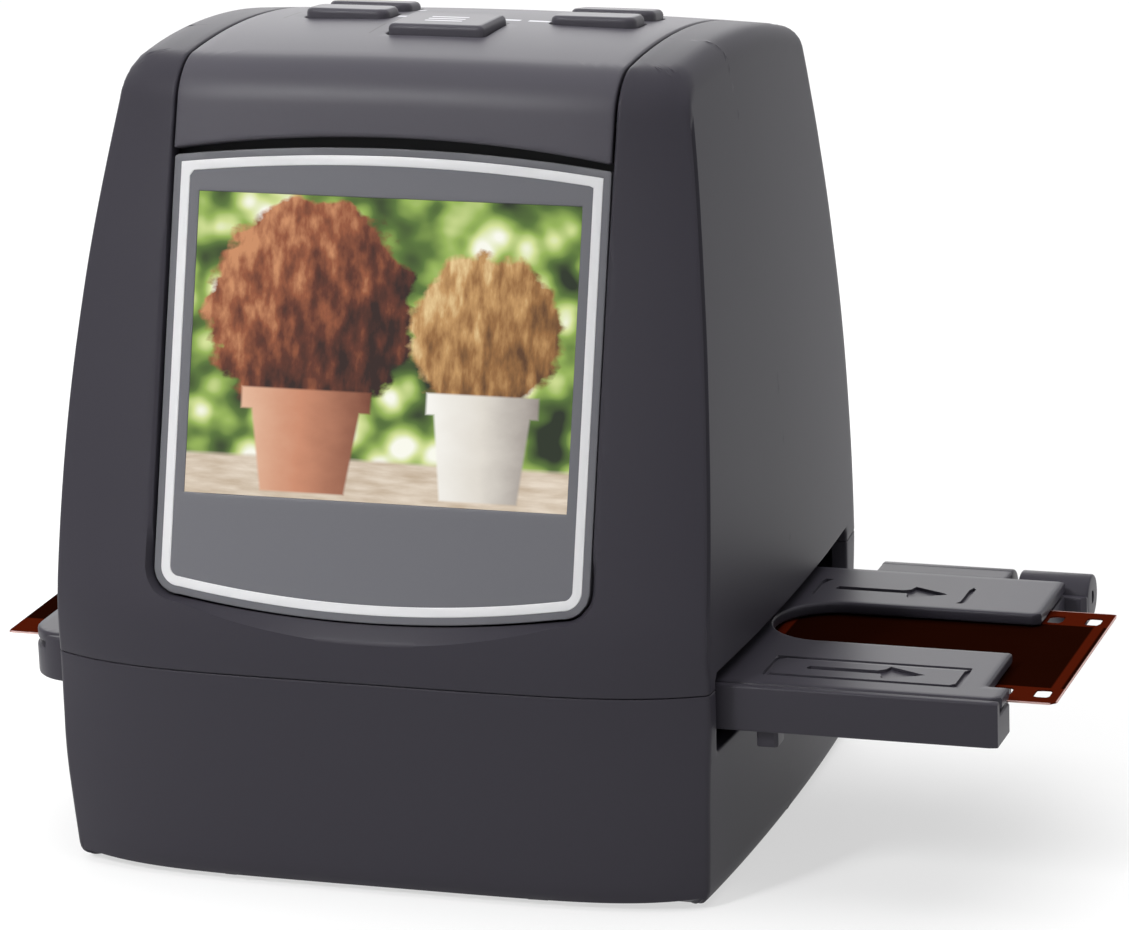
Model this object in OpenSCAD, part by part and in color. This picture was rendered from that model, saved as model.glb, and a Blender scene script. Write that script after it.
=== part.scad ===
// Film negative scanner: a small desktop tower that shines light up through a strip of 35 mm
// negatives and shows the picture on a display in its leaning front.
// X runs to the right, Y to the back and Z up. The origin is the middle of the flat underside, and
// the rubber feet stand a little below it.

/* [Housing] */
// Width of the housing at the parting line
body_w = 85.8; // [84:0.2:88]
// Depth of the housing at the parting line
body_d = 77.2; // [76:0.2:79]
// Height of the band between the display plate and the crown of the top
cap_h = 10.6; // [10.3:0.1:11]
// Height of the band between the parting line and the display plate
chin_h = 7.3; // [7:0.1:7.6]
// Wall thickness of both shells and the control panel
wall = 2; // [1.8:0.1:2.2]
// Height of the parting line between the two shells
seam_z = 27; // [26.6:0.1:27.4]
// Gap left at every parting line
seam_gap = 0.3; // [0.2:0.05:0.4]
// Backward lean of the front
front_lean = 16; // [15:0.5:17]
// Radius of the bulged sides, seen from the front
side_r = 370; // [340:5:420]
// Radius of the bulged sides, seen from above
side_bow_r = 530; // [480:10:640]
// How far the front corners are swept back
corner_sweep = 4.8; // [4.2:0.2:5.4]
// Radius of the rear corners in plan
rear_corner_r = 4.4; // [4:0.2:6]
// Radius of the crown, seen from the side
crown_r = 140; // [120:5:170]
// Radius between the front and the crown
brow_r = 6; // [5:0.5:7]
// Radius between the crown and the back
nape_r = 3; // [2.6:0.2:4]
// Radius of the shoulders, seen from the front
shoulder_r = 3; // [2.6:0.2:4]
// Size of the bevel round the base
base_bevel = 1.2; // [0.8:0.1:1.6]

/* [Display] */
// Width of the lit picture area
picture_w = 48.96; // [48:0.06:50]
// Height of the lit picture area
picture_h = 36.72; // [36:0.06:38]
// Width of the plate above the picture
top_border = 6; // [5.8:0.1:6.4]
// Width of the plate below the picture
chin_border = 14.5; // [14.2:0.1:14.8]
// Width of the display plate
plate_w = 55.8; // [55:0.2:56.6]
// How far the plate lies below the face of the housing
plate_recess = 1.3; // [1:0.1:1.6]
// Thickness of the display plate
plate_t = 1.5; // [1.3:0.1:1.8]
// Width of the bright line inlaid round the plate
trim_w = 1.1; // [0.8:0.1:1.4]

/* [Control panel] */
// Width of the control panel
panel_w = 56.2; // [55.4:0.2:57]
// Place of the back edge of the control panel
panel_back = 27; // [26.5:0.5:29]
// Width of the push buttons at the sides
button_w = 11; // [10.4:0.2:11.4]
// Depth of the push buttons at the sides
button_d = 5.8; // [5.4:0.2:6.4]
// Width of the middle push button
menu_w = 12.4; // [11.8:0.2:13]
// Depth of the middle push button
menu_d = 9.6; // [9:0.2:9.8]
// Height of a button above the panel at its front edge
button_rise = 1.1; // [1:0.1:1.4]
// Travel of a push button
button_travel = 0.6; // [0.4:0.1:0.8]
// Clearance round a button in its hole
button_gap = 0.25; // [0.2:0.05:0.35]

/* [Film holder] */
// Length of the film holder
holder_l = 124.8; // [123.2:0.4:126]
// Depth of the film holder from its front to its hinge axis
holder_d = 51.2; // [50.8:0.1:51.4]
// Thickness of the closed film holder
holder_t = 5.8; // [5.6:0.1:6]
// Height of the underside of the film holder
holder_z = 21.5; // [21.3:0.1:21.6]
// Place of the right end of the holder when its window is over the light
holder_right = 76.2; // [75:0.2:77]
// Width of the finger notch in the ends of the holder
notch_w = 15; // [13:0.5:16]
// Length of the finger notch in the right end of the holder
notch_l = 34.5; // [32:0.5:36]
// Clearance between the lid and the tray
lid_gap = 0.2; // [0.15:0.05:0.3]
// Radius of the hinge pin
pin_r = 0.8; // [0.7:0.05:0.9]
// Radial clearance of the lid on the hinge pin
pin_gap = 0.06; // [0.03:0.01:0.1]

/* [Film] */
// Width of the film
film_w = 35; // [34.9:0.05:35.1]
// Length of the film strip
film_l = 135; // [130:1:140]
// Thickness of the film
film_t = 0.2; // [0.15:0.05:0.3]
// Place of the middle of the film across the machine
film_y = -6.6; // [-7:0.1:-6.2]
// Place of the right end of the film strip
film_right = 81.8; // [80:0.2:84]
// Length of one picture on the film
frame_l = 36; // [35.5:0.1:36.2]
// Width of one picture on the film
frame_w = 24; // [23.8:0.1:24.2]

/* [Slot] */
// Height of the slot floor
slot_z = 19.2; // [19:0.1:19.3]
// Height of the slot opening
slot_h = 9.7; // [9.4:0.1:10]
// Front end of the slot
slot_front = -31.6; // [-31.8:0.1:-31.4]
// Rear end of the slot
slot_rear = 29.6; // [29.2:0.1:29.7]

/* [Hidden] */
$fn = 48;
far = 200;
tiny = 0.05;

// Housing: lines and centres from which the side, front and plan outlines are worked out.
base_z = 0;
half_d = body_d / 2;
half_w = body_w / 2;
base_rear = half_d - 3.4;
low_front = half_d - 1.1;
low_lean = 2.5;
plate_top = picture_h / 2 + top_border;
plate_bottom = -picture_h / 2 - chin_border;
picture_z = seam_z + chin_h - plate_bottom * cos(front_lean);
body_h = picture_z + plate_top * cos(front_lean) + cap_h;
face_y = -29.3;
picture_y = face_y + plate_recess / cos(front_lean);
fit_gap = 0.1;
crown_y = -3;
crown_c = [crown_y, body_h - crown_r];

function unit(a) = [cos(a), sin(a)];
function arc(c, r, a, b, n) = [for (k = [0:n]) c + r * unit(a + (b - a) * k / n)];
function mirrored(pts) = [for (k = [len(pts) - 1:-1:0]) [-pts[k][0], pts[k][1]]];

// The face of the leaning front and the face of the lower front, moved inward by i.
function lean_y(z, i) = picture_y + (z - picture_z) * tan(front_lean) + (i - plate_recess) / cos(front_lean);
function low_y(z, i) = i / cos(low_lean) - low_front - (z - base_z) * tan(low_lean);
function knee_z(i) = base_z + (low_y(base_z, i) - lean_y(base_z, i)) / (tan(front_lean) + tan(low_lean));

// Centre of the brow: on the lean line moved inward by its radius, tangent to the crown.
brow_d = [sin(front_lean), cos(front_lean)];
brow_p = [lean_y(picture_z, brow_r), picture_z] - crown_c;
brow_b = brow_p * brow_d;
brow_s = sqrt(brow_b * brow_b - brow_p * brow_p + pow(crown_r - brow_r, 2)) - brow_b;
brow_c = crown_c + brow_p + brow_s * brow_d;
brow_a = atan2(brow_c[1] - crown_c[1], brow_c[0] - crown_c[0]);
nape_c = [half_d - nape_r, crown_c[1] + sqrt(pow(crown_r - nape_r, 2) - pow(half_d - nape_r - crown_y, 2))];
nape_a = atan2(nape_c[1] - crown_c[1], nape_c[0] - crown_c[0]);
function crown_z(y) = crown_c[1] + sqrt(crown_r * crown_r - pow(y - crown_y, 2));

function side_outline(i) = concat(
    [[half_d - i, seam_z], [base_rear - i, base_z + i + base_bevel], [base_rear - i - base_bevel, base_z + i]],
    [[low_y(base_z + i, i) + base_bevel, base_z + i], [low_y(base_z + i + base_bevel, i), base_z + i + base_bevel]],
    [[low_y(knee_z(i), i), knee_z(i)]],
    arc(brow_c, brow_r - i, 180 - front_lean, brow_a, 6),
    arc(crown_c, crown_r - i, brow_a, nape_a, 8),
    arc(nape_c, nape_r - i, nape_a, 0, 5));

// Sides: seen from the front, a long arc that is widest at the parting line and ends in a round
// shoulder, tangent to the arc.
side_c = [half_w - side_r, seam_z];
function side_x(z) = side_c[0] + sqrt(side_r * side_r - pow(z - seam_z, 2));
shoulder_z = body_h - shoulder_r;
shoulder_a = asin((shoulder_z - seam_z) / (side_r - shoulder_r));
shoulder_c = [side_c[0] + (side_r - shoulder_r) * cos(shoulder_a), shoulder_z];
clear = 10;
side_run = shoulder_z / 2;
function half_front(i) = concat(
    [for (d = [-clear, clear]) [side_x(base_z) - base_bevel - i + d, base_z + i + d]],
    [shoulder_c + (shoulder_r - i) * unit(shoulder_a) + side_run * unit(shoulder_a - 90)],
    arc(shoulder_c, shoulder_r - i, shoulder_a, 90, 5));
function front_outline(i) = concat(half_front(i), mirrored(half_front(i)));

// Plan outlines: the front corners are swept back along a steep curve. The sides are bowed and end
// in round rear corners.
sweep_power = 5;
sweep_steps = [0.38, 0.55, 0.68, 0.78, 0.86, 0.93, 1.03];
function half_sweep(i) = concat(
    [for (f = sweep_steps) [f * (half_w - i), tiny - corner_sweep * pow(f, sweep_power)]], [[half_w, -far]]);
function sweep_outline(i) = concat(mirrored(half_sweep(i)), half_sweep(i));
side_y = -2;
bow_start = 5;
bow_c = [half_w - side_bow_r, side_y];
rear_y = half_d - rear_corner_r;
rear_a = asin((rear_y - side_y) / (side_bow_r - rear_corner_r));
rear_c = bow_c + (side_bow_r - rear_corner_r) * unit(rear_a);
function side_plan(i) = concat(
    [[-far, side_y - side_bow_r * sin(bow_start)]],
    arc(bow_c, side_bow_r - i, -bow_start, rear_a, 6),
    arc(rear_c, rear_corner_r - i, rear_a, 90, 5),
    [[-far, half_d - i]]);

// Moves things from the plane of the picture to their place: x right, y up the front, z outward.
module on_front() {
    translate([0, picture_y, picture_z]) rotate([90 - front_lean, 0, 0]) children();
}

// A prism with the swept front, whose face leans back by the given angle through one point.
module swept_prism(i, lean, y0, z0) {
    translate([0, y0, z0]) rotate([180 - lean, 0, 0]) translate([0, 0, -far])
        linear_extrude(2 * far) polygon(sweep_outline(i));
}

// A prism with a bowed side and its rear corner, which touches the arc of the sides at one height.
module right_side(i, z) {
    translate([side_x(z), 0, z]) rotate([0, -asin((z - seam_z) / side_r), 0]) translate([-half_w, 0, -far])
        linear_extrude(2 * far) polygon(side_plan(i));
}

module both_sides(i, z) {
    intersection() {
        right_side(i, z);
        mirror([1, 0, 0]) right_side(i, z);
    }
}

// The whole outer form of the housing, moved inward by i.
side_steps = 4;
function step_z(k) = base_z + (shoulder_z - base_z) * (k + 0.5) / side_steps;
module form(i) {
    intersection() {
        rotate([90, 0, 90]) translate([0, 0, -far / 2]) linear_extrude(far) polygon(side_outline(i));
        rotate([90, 0, 0]) translate([0, 0, -far / 2]) linear_extrude(far) polygon(front_outline(i));
        both_sides(i, step_z(0));
        both_sides(i, step_z(1));
        both_sides(i, step_z(2));
        both_sides(i, step_z(3));
        swept_prism(i, front_lean, lean_y(picture_z, i), picture_z);
        swept_prism(i, -low_lean, low_y(base_z, i), base_z);
    }
}

// The hollow wall of the housing between two heights.
module wall_between(z0, z1) {
    intersection() {
        difference() {
            form(0);
            form(wall);
        }
        translate([-far / 2, -far / 2, z0]) cube([far, far, z1 - z0]);
    }
}

// Box given by its middle in x and y, its lowest z and its size.
module block(at, size) {
    translate([at[0] - size[0] / 2, at[1] - size[1] / 2, at[2]]) cube(size);
}

// Round column or hole from one height to another.
module post(at, r, z0, z1) {
    translate([at[0], at[1], z0]) cylinder(r = r, h = z1 - z0);
}

// Display plate outline, moved inward by d: bowed top and bottom, round lower corners.
plate_bow_top = 1.7;
plate_bow_bottom = 2;
plate_corner_r = 3.4;
corner_turn = 80;
function plate_outline(d) = let(w = plate_w / 2 - d, r = plate_corner_r - d,
    b = plate_bottom + plate_bow_bottom + d)
    concat(
        [for (k = [-8:8]) [w * k / 8, plate_top - d - plate_bow_top * pow(k / 8, 2)]],
        arc([w - r, b + r], r, 0, -corner_turn, 4),
        [for (k = [6:-1:-6]) [(w - r) * k / 7, b - plate_bow_bottom * (1 - pow(k / 7, 2))]],
        arc([r - w, b + r], r, corner_turn - 180, -180, 4));

// Lower edge of the control panel: an arch over the display.
arch_r = 179;
arch_gap = 1.2;
arch_top = plate_top + arch_gap;
arch_depth = 12;
panel_overlap = 5.9;
panel_low = body_h - cap_h - panel_overlap;

module panel_region(gap) {
    difference() {
        translate([gap - panel_w / 2, -far / 2, panel_low])
            cube([panel_w - 2 * gap, far / 2 + panel_back - gap, far / 2]);
        on_front() translate([0, arch_top + gap - arch_r, -arch_depth])
            cylinder(r = arch_r, h = arch_depth + 2 * plate_recess, $fn = 180);
    }
}

module display_opening() {
    on_front() translate([0, 0, -arch_depth]) linear_extrude(arch_depth + 2 * plate_recess)
        union() {
            polygon(plate_outline(-fit_gap));
            translate([-panel_w / 2, plate_top - 2 * plate_bow_top]) square([panel_w, 3 * plate_bow_top]);
        }
}

// Crescent ledge that slopes from the lower front up to the display plate.
ledge_r = 90;
ledge_drop = 0.65;
ledge_band = 2.5;
ledge_low = plate_bottom - ledge_band;
module chin_ledge() {
    on_front() intersection() {
        translate([0, ledge_low + ledge_r, plate_recess - ledge_drop])
            cylinder(r = ledge_r, h = plate_recess, $fn = 180);
        translate([-plate_w / 2 - fit_gap, ledge_low - tiny, -plate_recess])
            cube([plate_w + 2 * fit_gap, -ledge_low / 3, far]);
    }
}

// Slots for the film holder, through both sides.
module slot_cut() {
    translate([-far / 2, slot_front, slot_z]) cube([far, slot_rear - slot_front, slot_h]);
}

// Styling groove that runs down each front corner of the upper shell, along the crease between the
// swept front and the bowed side.
groove_w = 0.7;
groove_ends = [2.5, 10.6];
groove_steps = 4;
groove_f = 0.975;
function groove_z(k) = seam_z + groove_ends[0]
    + (body_h - groove_ends[1] - seam_z - groove_ends[0]) * k / groove_steps;
function crease(z) = let(y = lean_y(z, 0) + corner_sweep * pow(groove_f * side_x(z) / half_w, sweep_power))
    [side_x(z) - pow(y - side_y, 2) / (2 * side_bow_r), y, z];
module groove_run(a, b) {
    v = b - a;
    translate(a) rotate([0, acos(v[2] / norm(v)), atan2(v[1], v[0])])
        translate([-groove_w / 2, -groove_w / 2, 0]) cube([groove_w, groove_w, norm(v) + tiny]);
}
module corner_groove() {
    for (k = [0:groove_steps - 1]) groove_run(crease(groove_z(k)), crease(groove_z(k + 1)));
}

// Screws that hold the two shells together, with their bosses and posts.
screw_front = [20, -34.3];
screw_rear = [28, 32.2];
screw_places = [[-screw_front[0], screw_front[1]], screw_front, [-screw_rear[0], screw_rear[1]], screw_rear];
screw_r = 1;
screw_head_r = 1.9;
screw_head_h = 1.4;
screw_head_z = 11.6;
screw_l = 19;
screw_end_gap = 1;
boss_r = 2.5;
pocket_r = 2.05;
clear_r = 1.2;
post_top = 32.8;
rib_t = 1.6;
rib_l = 7;

// Screw columns between two heights, each with a rib that joins it to the nearest wall.
module screw_columns(z0, z1) {
    intersection() {
        form(wall / 2);
        union() for (p = screw_places) {
            post(p, boss_r, z0, z1);
            block([p[0], p[1] + sign(p[1]) * rib_l / 2, z0], [rib_t, rib_l, z1 - z0]);
        }
    }
}

// Ports in the back for a memory card and a data cable.
board_t = 1.6;
main_board_z = 33;
port_z = main_board_z + board_t + fit_gap;
card_port = [25, 2.4];
card_x = -10;
usb_port = [7.6, 3.6];
usb_x = 19;
port_gap = 0.4;
module port_cut(x, size) {
    block([x, half_d, port_z], [size[0] + 2 * port_gap, 4 * wall, size[1] + 2 * port_gap]);
}

module upper_shell() {
    color("#3c3b40") difference() {
        union() {
            wall_between(seam_z + seam_gap / 2, body_h);
            screw_columns(seam_z + seam_gap / 2, post_top);
        }
        panel_region(0);
        display_opening();
        chin_ledge();
        slot_cut();
        corner_groove();
        mirror([1, 0, 0]) corner_groove();
        port_cut(card_x, card_port);
        port_cut(usb_x, usb_port);
        for (p = screw_places) post(p, screw_r, seam_z, screw_head_z + screw_l + screw_end_gap);
    }
}

// Rubber feet in shallow round seats.
foot_r = 4;
foot_seat = 0.9;
foot_drop = 0.5;
foot_x = 30;
foot_front = -28;
foot_rear = 26;
foot_places = [[-foot_x, foot_front], [foot_x, foot_front], [-foot_x, foot_rear], [foot_x, foot_rear]];
foot_names = ["foot_front_left", "foot_front_right", "foot_rear_left", "foot_rear_right"];

module lower_shell() {
    color("#38373c") difference() {
        union() {
            wall_between(base_z, seam_z - seam_gap / 2);
            screw_columns(base_z, seam_z - seam_gap / 2);
        }
        slot_cut();
        for (p = screw_places) {
            post(p, pocket_r, -wall, screw_head_z);
            post(p, clear_r, 0, seam_z);
        }
        for (p = foot_places) post(p, foot_r + fit_gap, -foot_drop, base_z + foot_seat);
    }
}

module foot(k) {
    color("#1c1c1e") post(foot_places[k], foot_r, -foot_drop, base_z + foot_seat);
}

module screws() {
    color("#8b8d90") for (p = screw_places) {
        post(p, screw_head_r, screw_head_z - screw_head_h, screw_head_z);
        post(p, screw_r - fit_gap / 2, screw_head_z - tiny, screw_head_z + screw_l);
    }
}

// Buttons: one in front and two on each side, each with a cap, a stem and a flange under the panel.
button_places = [[0.4, -0.3], [-15, 7.8], [17.3, 7.8], [-14.8, 15.6], [17.4, 15.6]];
button_names = ["button_menu", "button_left_front", "button_right_front", "button_left_rear",
    "button_right_rear"];
function button_size(k) = k == 0 ? [menu_w, menu_d] : [button_w, button_d];
cap_bevel = 1.5;
flange_t = 1;
flange_lip = 0.9;
stem_w = 3;
switch_w = 6;
switch_h = 2.8;
plunger_r = 1.4;
plunger_h = 1;
key_board_drop = 14;
key_board_z = body_h - key_board_drop;
key_board_y = 7.5;
key_board_size = [50, 31];
switch_top = key_board_z + board_t + switch_h;
function under_crown(y) = crown_c[1] + sqrt(pow(crown_r - wall, 2) - pow(y - crown_y, 2));
function flange_top(k) = let(y = abs(button_places[k][1] - crown_y) + button_size(k)[1] / 2)
    under_crown(crown_y + y) - fit_gap;

module control_panel() {
    color("#38373c") difference() {
        intersection() {
            wall_between(panel_low, body_h + wall);
            panel_region(fit_gap);
        }
        for (k = [0:4]) block([button_places[k][0], button_places[k][1], panel_low],
            [button_size(k)[0] + 2 * button_gap, button_size(k)[1] + 2 * button_gap, body_h]);
    }
}

// A cap whose top slopes with the crown, with a flange that keeps it in the panel and a stem below.
module button(k) {
    x = button_places[k][0];
    y = button_places[k][1];
    w = button_size(k)[0];
    d = button_size(k)[1];
    top = crown_z(y);
    stem_z = switch_top + plunger_h + button_travel + fit_gap;
    slope = asin((y - crown_y) / crown_r) + cap_bevel;
    color("#3a393e") union() {
        difference() {
            block([x, y, flange_top(k) - flange_t], [w, d, top + 2 * button_rise - flange_top(k)]);
            translate([x, y, top + button_rise]) rotate([-slope, 0, 0])
                block([0, 0, 0], [2 * w, 2 * d, 3 * button_rise]);
        }
        block([x, y, flange_top(k) - flange_t], [w + 2 * flange_lip, d, flange_t]);
        block([x, y, stem_z], [stem_w, stem_w, flange_top(k) - flange_t - stem_z + tiny]);
    }
}

module key_board() {
    color("#2f6b46") block([0, key_board_y, key_board_z],
        [key_board_size[0], key_board_size[1], board_t]);
}

module key_switches() {
    color("#26262a") for (p = button_places) {
        block([p[0], p[1], key_board_z + board_t], [switch_w, switch_w, switch_h]);
        post(p, plunger_r, switch_top - tiny, switch_top + plunger_h);
    }
}

// Display: plate, bright inlaid line, glass over the picture, the lit module and its bracket.
window_gap = 0.1;
trim_inset = 0.6;
trim_depth = 0.5;
trim_proud = 0.05;
glass_drop = 0.2;
module_size = [53, 43, 2.6];
module_drop = -1.4;
bracket_size = [68, 58, 1.4];
bracket_drop = -1;
bracket_hole = [40, 28];

// A slab in the plane of the picture: middle, size and how far its back lies behind the face.
module slab(at, size, back) {
    translate([at[0] - size[0] / 2, at[1] - size[1] / 2, -back]) cube(size);
}

module display_plate() {
    color("#6f6f76") on_front() difference() {
        translate([0, 0, -plate_t]) linear_extrude(plate_t) polygon(plate_outline(0));
        slab([0, 0], [picture_w, picture_h, 3 * plate_t], 2 * plate_t);
        translate([0, 0, -trim_depth]) linear_extrude(plate_t) difference() {
            polygon(plate_outline(trim_inset));
            polygon(plate_outline(trim_inset + trim_w));
        }
    }
}

module trim_line() {
    color("#d9d9dc") on_front() translate([0, 0, -trim_depth]) linear_extrude(trim_depth + trim_proud)
        difference() {
            polygon(plate_outline(trim_inset));
            polygon(plate_outline(trim_inset + trim_w));
        }
}

module display_glass() {
    color("#2b3a2a") on_front() slab([0, 0],
        [picture_w - 2 * window_gap, picture_h - 2 * window_gap, plate_t - glass_drop], plate_t);
}

module display_module() {
    color("#b9babd") on_front() slab([0, module_drop], module_size, plate_t + module_size[2]);
}

module display_bracket() {
    back = plate_t + module_size[2] + bracket_size[2];
    color("#55555a") on_front() difference() {
        slab([0, bracket_drop], bracket_size, back);
        slab([0, bracket_drop], [bracket_hole[0], bracket_hole[1], 3 * bracket_size[2]],
            back + bracket_size[2]);
    }
}

// Film path: a lower plate with the diffuser and an upper gate, with the light box below.
path_x = 38;
path_front = -31;
path_rear = 29.2;
path_t = 1.6;
gate_z = slot_z + slot_h + fit_gap;
aperture_gap = 1;
aperture = [frame_l + 2 * aperture_gap, frame_w + 2 * aperture_gap];
diffuser_size = [aperture[0] + 2 * aperture_gap, aperture[1] + 2 * aperture_gap, 1.8];
box_wall = 1.5;
box_size = [diffuser_size[0] + 2 * box_wall, diffuser_size[1] + 2 * box_wall];
plate_z = slot_z - fit_gap - path_t;
led_board_z = base_z + wall + box_wall;
led_board_size = [34, 22];
led_size = [3.5, 2.8, 1.2];
led_pitch = [11, 9];

module path_plate(z, hole) {
    difference() {
        translate([-path_x, path_front, z]) cube([2 * path_x, path_rear - path_front, path_t]);
        block([0, film_y, z - path_t], [hole[0], hole[1], 3 * path_t]);
    }
}

module film_gate() {
    color("#2a2a2d") path_plate(gate_z, aperture);
}

module lower_path_plate() {
    color("#2a2a2d") path_plate(plate_z, [diffuser_size[0] + 2 * fit_gap, diffuser_size[1] + 2 * fit_gap]);
}

module diffuser() {
    color("#f2f2ee") block([0, film_y, plate_z - diffuser_size[2] + path_t], diffuser_size);
}

module light_box() {
    z0 = base_z + wall;
    color("#e8e8e4") difference() {
        block([0, film_y, z0], [box_size[0], box_size[1], plate_z - z0 - fit_gap]);
        block([0, film_y, z0 + box_wall],
            [diffuser_size[0] - 2 * box_wall, diffuser_size[1] - 2 * box_wall, plate_z]);
        block([0, film_y, plate_z - diffuser_size[2] + path_t - fit_gap / 2],
            [diffuser_size[0] + 2 * fit_gap, diffuser_size[1] + 2 * fit_gap, plate_z]);
    }
}

module led_board() {
    color("#2f6b46") block([0, film_y, led_board_z], [led_board_size[0], led_board_size[1], board_t]);
}

module leds() {
    color("#f6f0c8") for (i = [-1:1], j = [-1:2:1])
        block([i * led_pitch[0], film_y + j * led_pitch[1] / 2, led_board_z + board_t], led_size);
}

// Optics: a stepped dark tower over the gate that holds the lens and, on top, the sensor.
tower_wall = 1.5;
tower_foot = [32, 30];
tower_neck = [20, 20];
tower_foot_top = 44;
tower_drop = 25.3;
tower_top = body_h - tower_drop;
tower_z = gate_z + path_t;
lens_r = 6;
barrel_r = 7.6;
barrel_z = [50, 64];
lens_t = 2.4;
sensor_board_w = 25;
sensor_w = 9;
sensor_t = 1.1;

module optics_tower() {
    color("#1f1f22") difference() {
        union() {
            block([0, film_y, tower_z], [tower_foot[0], tower_foot[1], tower_foot_top - tower_z]);
            block([0, film_y, tower_z], [tower_neck[0], tower_neck[1], tower_top - tower_z]);
        }
        block([0, film_y, tower_z - tower_wall],
            [tower_foot[0] - 2 * tower_wall, tower_foot[1] - 2 * tower_wall, tower_foot_top - tower_z]);
        block([0, film_y, tower_z],
            [tower_neck[0] - 2 * tower_wall, tower_neck[1] - 2 * tower_wall, far]);
    }
}

module lens_barrel() {
    color("#17171a") difference() {
        post([0, film_y], barrel_r, barrel_z[0], barrel_z[1]);
        post([0, film_y], lens_r, 0, far);
    }
}

module lens(z) {
    color("#9fb4c4") post([0, film_y], lens_r - tiny, z, z + lens_t);
}

module sensor_board() {
    color("#2f6b46") block([0, film_y, tower_top + fit_gap], [sensor_board_w, sensor_board_w, board_t]);
}

module sensor_chip() {
    color("#3a3f4a") block([0, film_y, tower_top + fit_gap - sensor_t], [sensor_w, sensor_w, sensor_t]);
}

// Main board behind the tower, with its chips and the two sockets that open in the back.
main_board_size = [70, 25];
main_board_gap = 2.8;
main_board_y = half_d - main_board_gap - main_board_size[1] / 2;
board_front = main_board_y - main_board_size[1] / 2;
board_top = main_board_z + board_t;
socket_back = half_d - wall - 2 * fit_gap;
card_socket_size = [28, 23, 3.2];
usb_socket_size = [8.6, 9, 4.4];
memory_size = [8, 12, 1.1];
memory_gap = 1.5;
memory_inset = 9.2;
memory_at = [card_x + card_socket_size[0] / 2 + memory_gap + memory_size[0] / 2, board_front + memory_inset];
processor_size = [11, 11, 1.2];
processor_gap = 3;
processor_inset = 6.7;
processor_at = [memory_at[0] + memory_size[0] / 2 + processor_gap + processor_size[0] / 2,
    board_front + processor_inset];
capacitor_r = 1.9;
capacitor_h = 4.5;
capacitor_pitch = 4.4;
capacitor_gap = 0.1;
capacitor_inset = 8.8;
capacitor_at = [processor_at[0] + processor_size[0] / 2 + capacitor_gap + capacitor_r,
    board_front + capacitor_inset];

module main_board() {
    color("#2f6b46") block([0, main_board_y, main_board_z], [main_board_size[0], main_board_size[1], board_t]);
}

module processor_chip() {
    color("#222226") block([processor_at[0], processor_at[1], board_top], processor_size);
}

module memory_chip() {
    color("#222226") block([memory_at[0], memory_at[1], board_top], memory_size);
}

module capacitors() {
    color("#44507a") for (k = [0:2])
        post(capacitor_at + [0, k * capacitor_pitch], capacitor_r, board_top, board_top + capacitor_h);
}

module socket(x, port, size) {
    difference() {
        block([x, socket_back - size[1] / 2, board_top], size);
        block([x, socket_back, port_z + port_gap / 2], [port[0], size[1], port[1]]);
    }
}

module card_socket() {
    color("#c4c5c8") socket(card_x, card_port, card_socket_size);
}

module usb_socket() {
    color("#c4c5c8") socket(usb_x, usb_port, usb_socket_size);
}

// Flat cables.
ribbon_t = 0.3;
ribbon_w = 9;
ribbon_tuck = 2;
display_ribbon_edge = 8;
display_ribbon_at = [main_board_size[0] / 2 - display_ribbon_edge, -25.5];
display_ribbon_h = 11;
key_ribbon_edge = 4.5;
key_ribbon_inset = 10.2;
key_ribbon_at = [key_ribbon_edge - main_board_size[0] / 2, board_front + key_ribbon_inset];
module display_ribbon() {
    x = display_ribbon_at[0];
    y = display_ribbon_at[1];
    z = board_top + ribbon_tuck;
    color("#c98a3a") union() {
        block([x, y, z], [ribbon_w, ribbon_t, display_ribbon_h]);
        translate([x - ribbon_w / 2, y, z]) cube([ribbon_w, main_board_y - main_board_size[1] / 2 - y, ribbon_t]);
    }
}

module sensor_ribbon() {
    y = main_board_y - main_board_size[1] / 2 + ribbon_tuck / 2;
    top = tower_top + fit_gap + board_t;
    from = film_y + sensor_board_w / 2 - ribbon_tuck;
    color("#c98a3a") union() {
        block([0, y, board_top], [ribbon_w, ribbon_t, top - board_top + ribbon_t]);
        translate([-ribbon_w / 2, from, top]) cube([ribbon_w, y - from, ribbon_t]);
    }
}

module key_ribbon() {
    x = key_ribbon_at[0];
    y = key_ribbon_at[1];
    color("#c98a3a") union() {
        block([x, y, board_top], [ribbon_t, ribbon_w, key_board_z - board_top]);
        translate([x, y - ribbon_w / 2, key_board_z - ribbon_t]) cube([ribbon_w, ribbon_w, ribbon_t]);
    }
}

// Leaf springs under the gate that keep the holder down.
spring_size = [14, 4, 0.3];
spring_drop = 0.7;
spring_x = 26;
spring_y = 14;
module hold_down_springs() {
    color("#b8b9bc") for (s = [-1, 1]) translate([s * spring_x, spring_y, gate_z]) union() {
        block([0, 0, -spring_size[2]], spring_size);
        block([0, 0, -spring_drop], [spring_size[0] / 3, spring_size[1], spring_drop]);
    }
}

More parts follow.
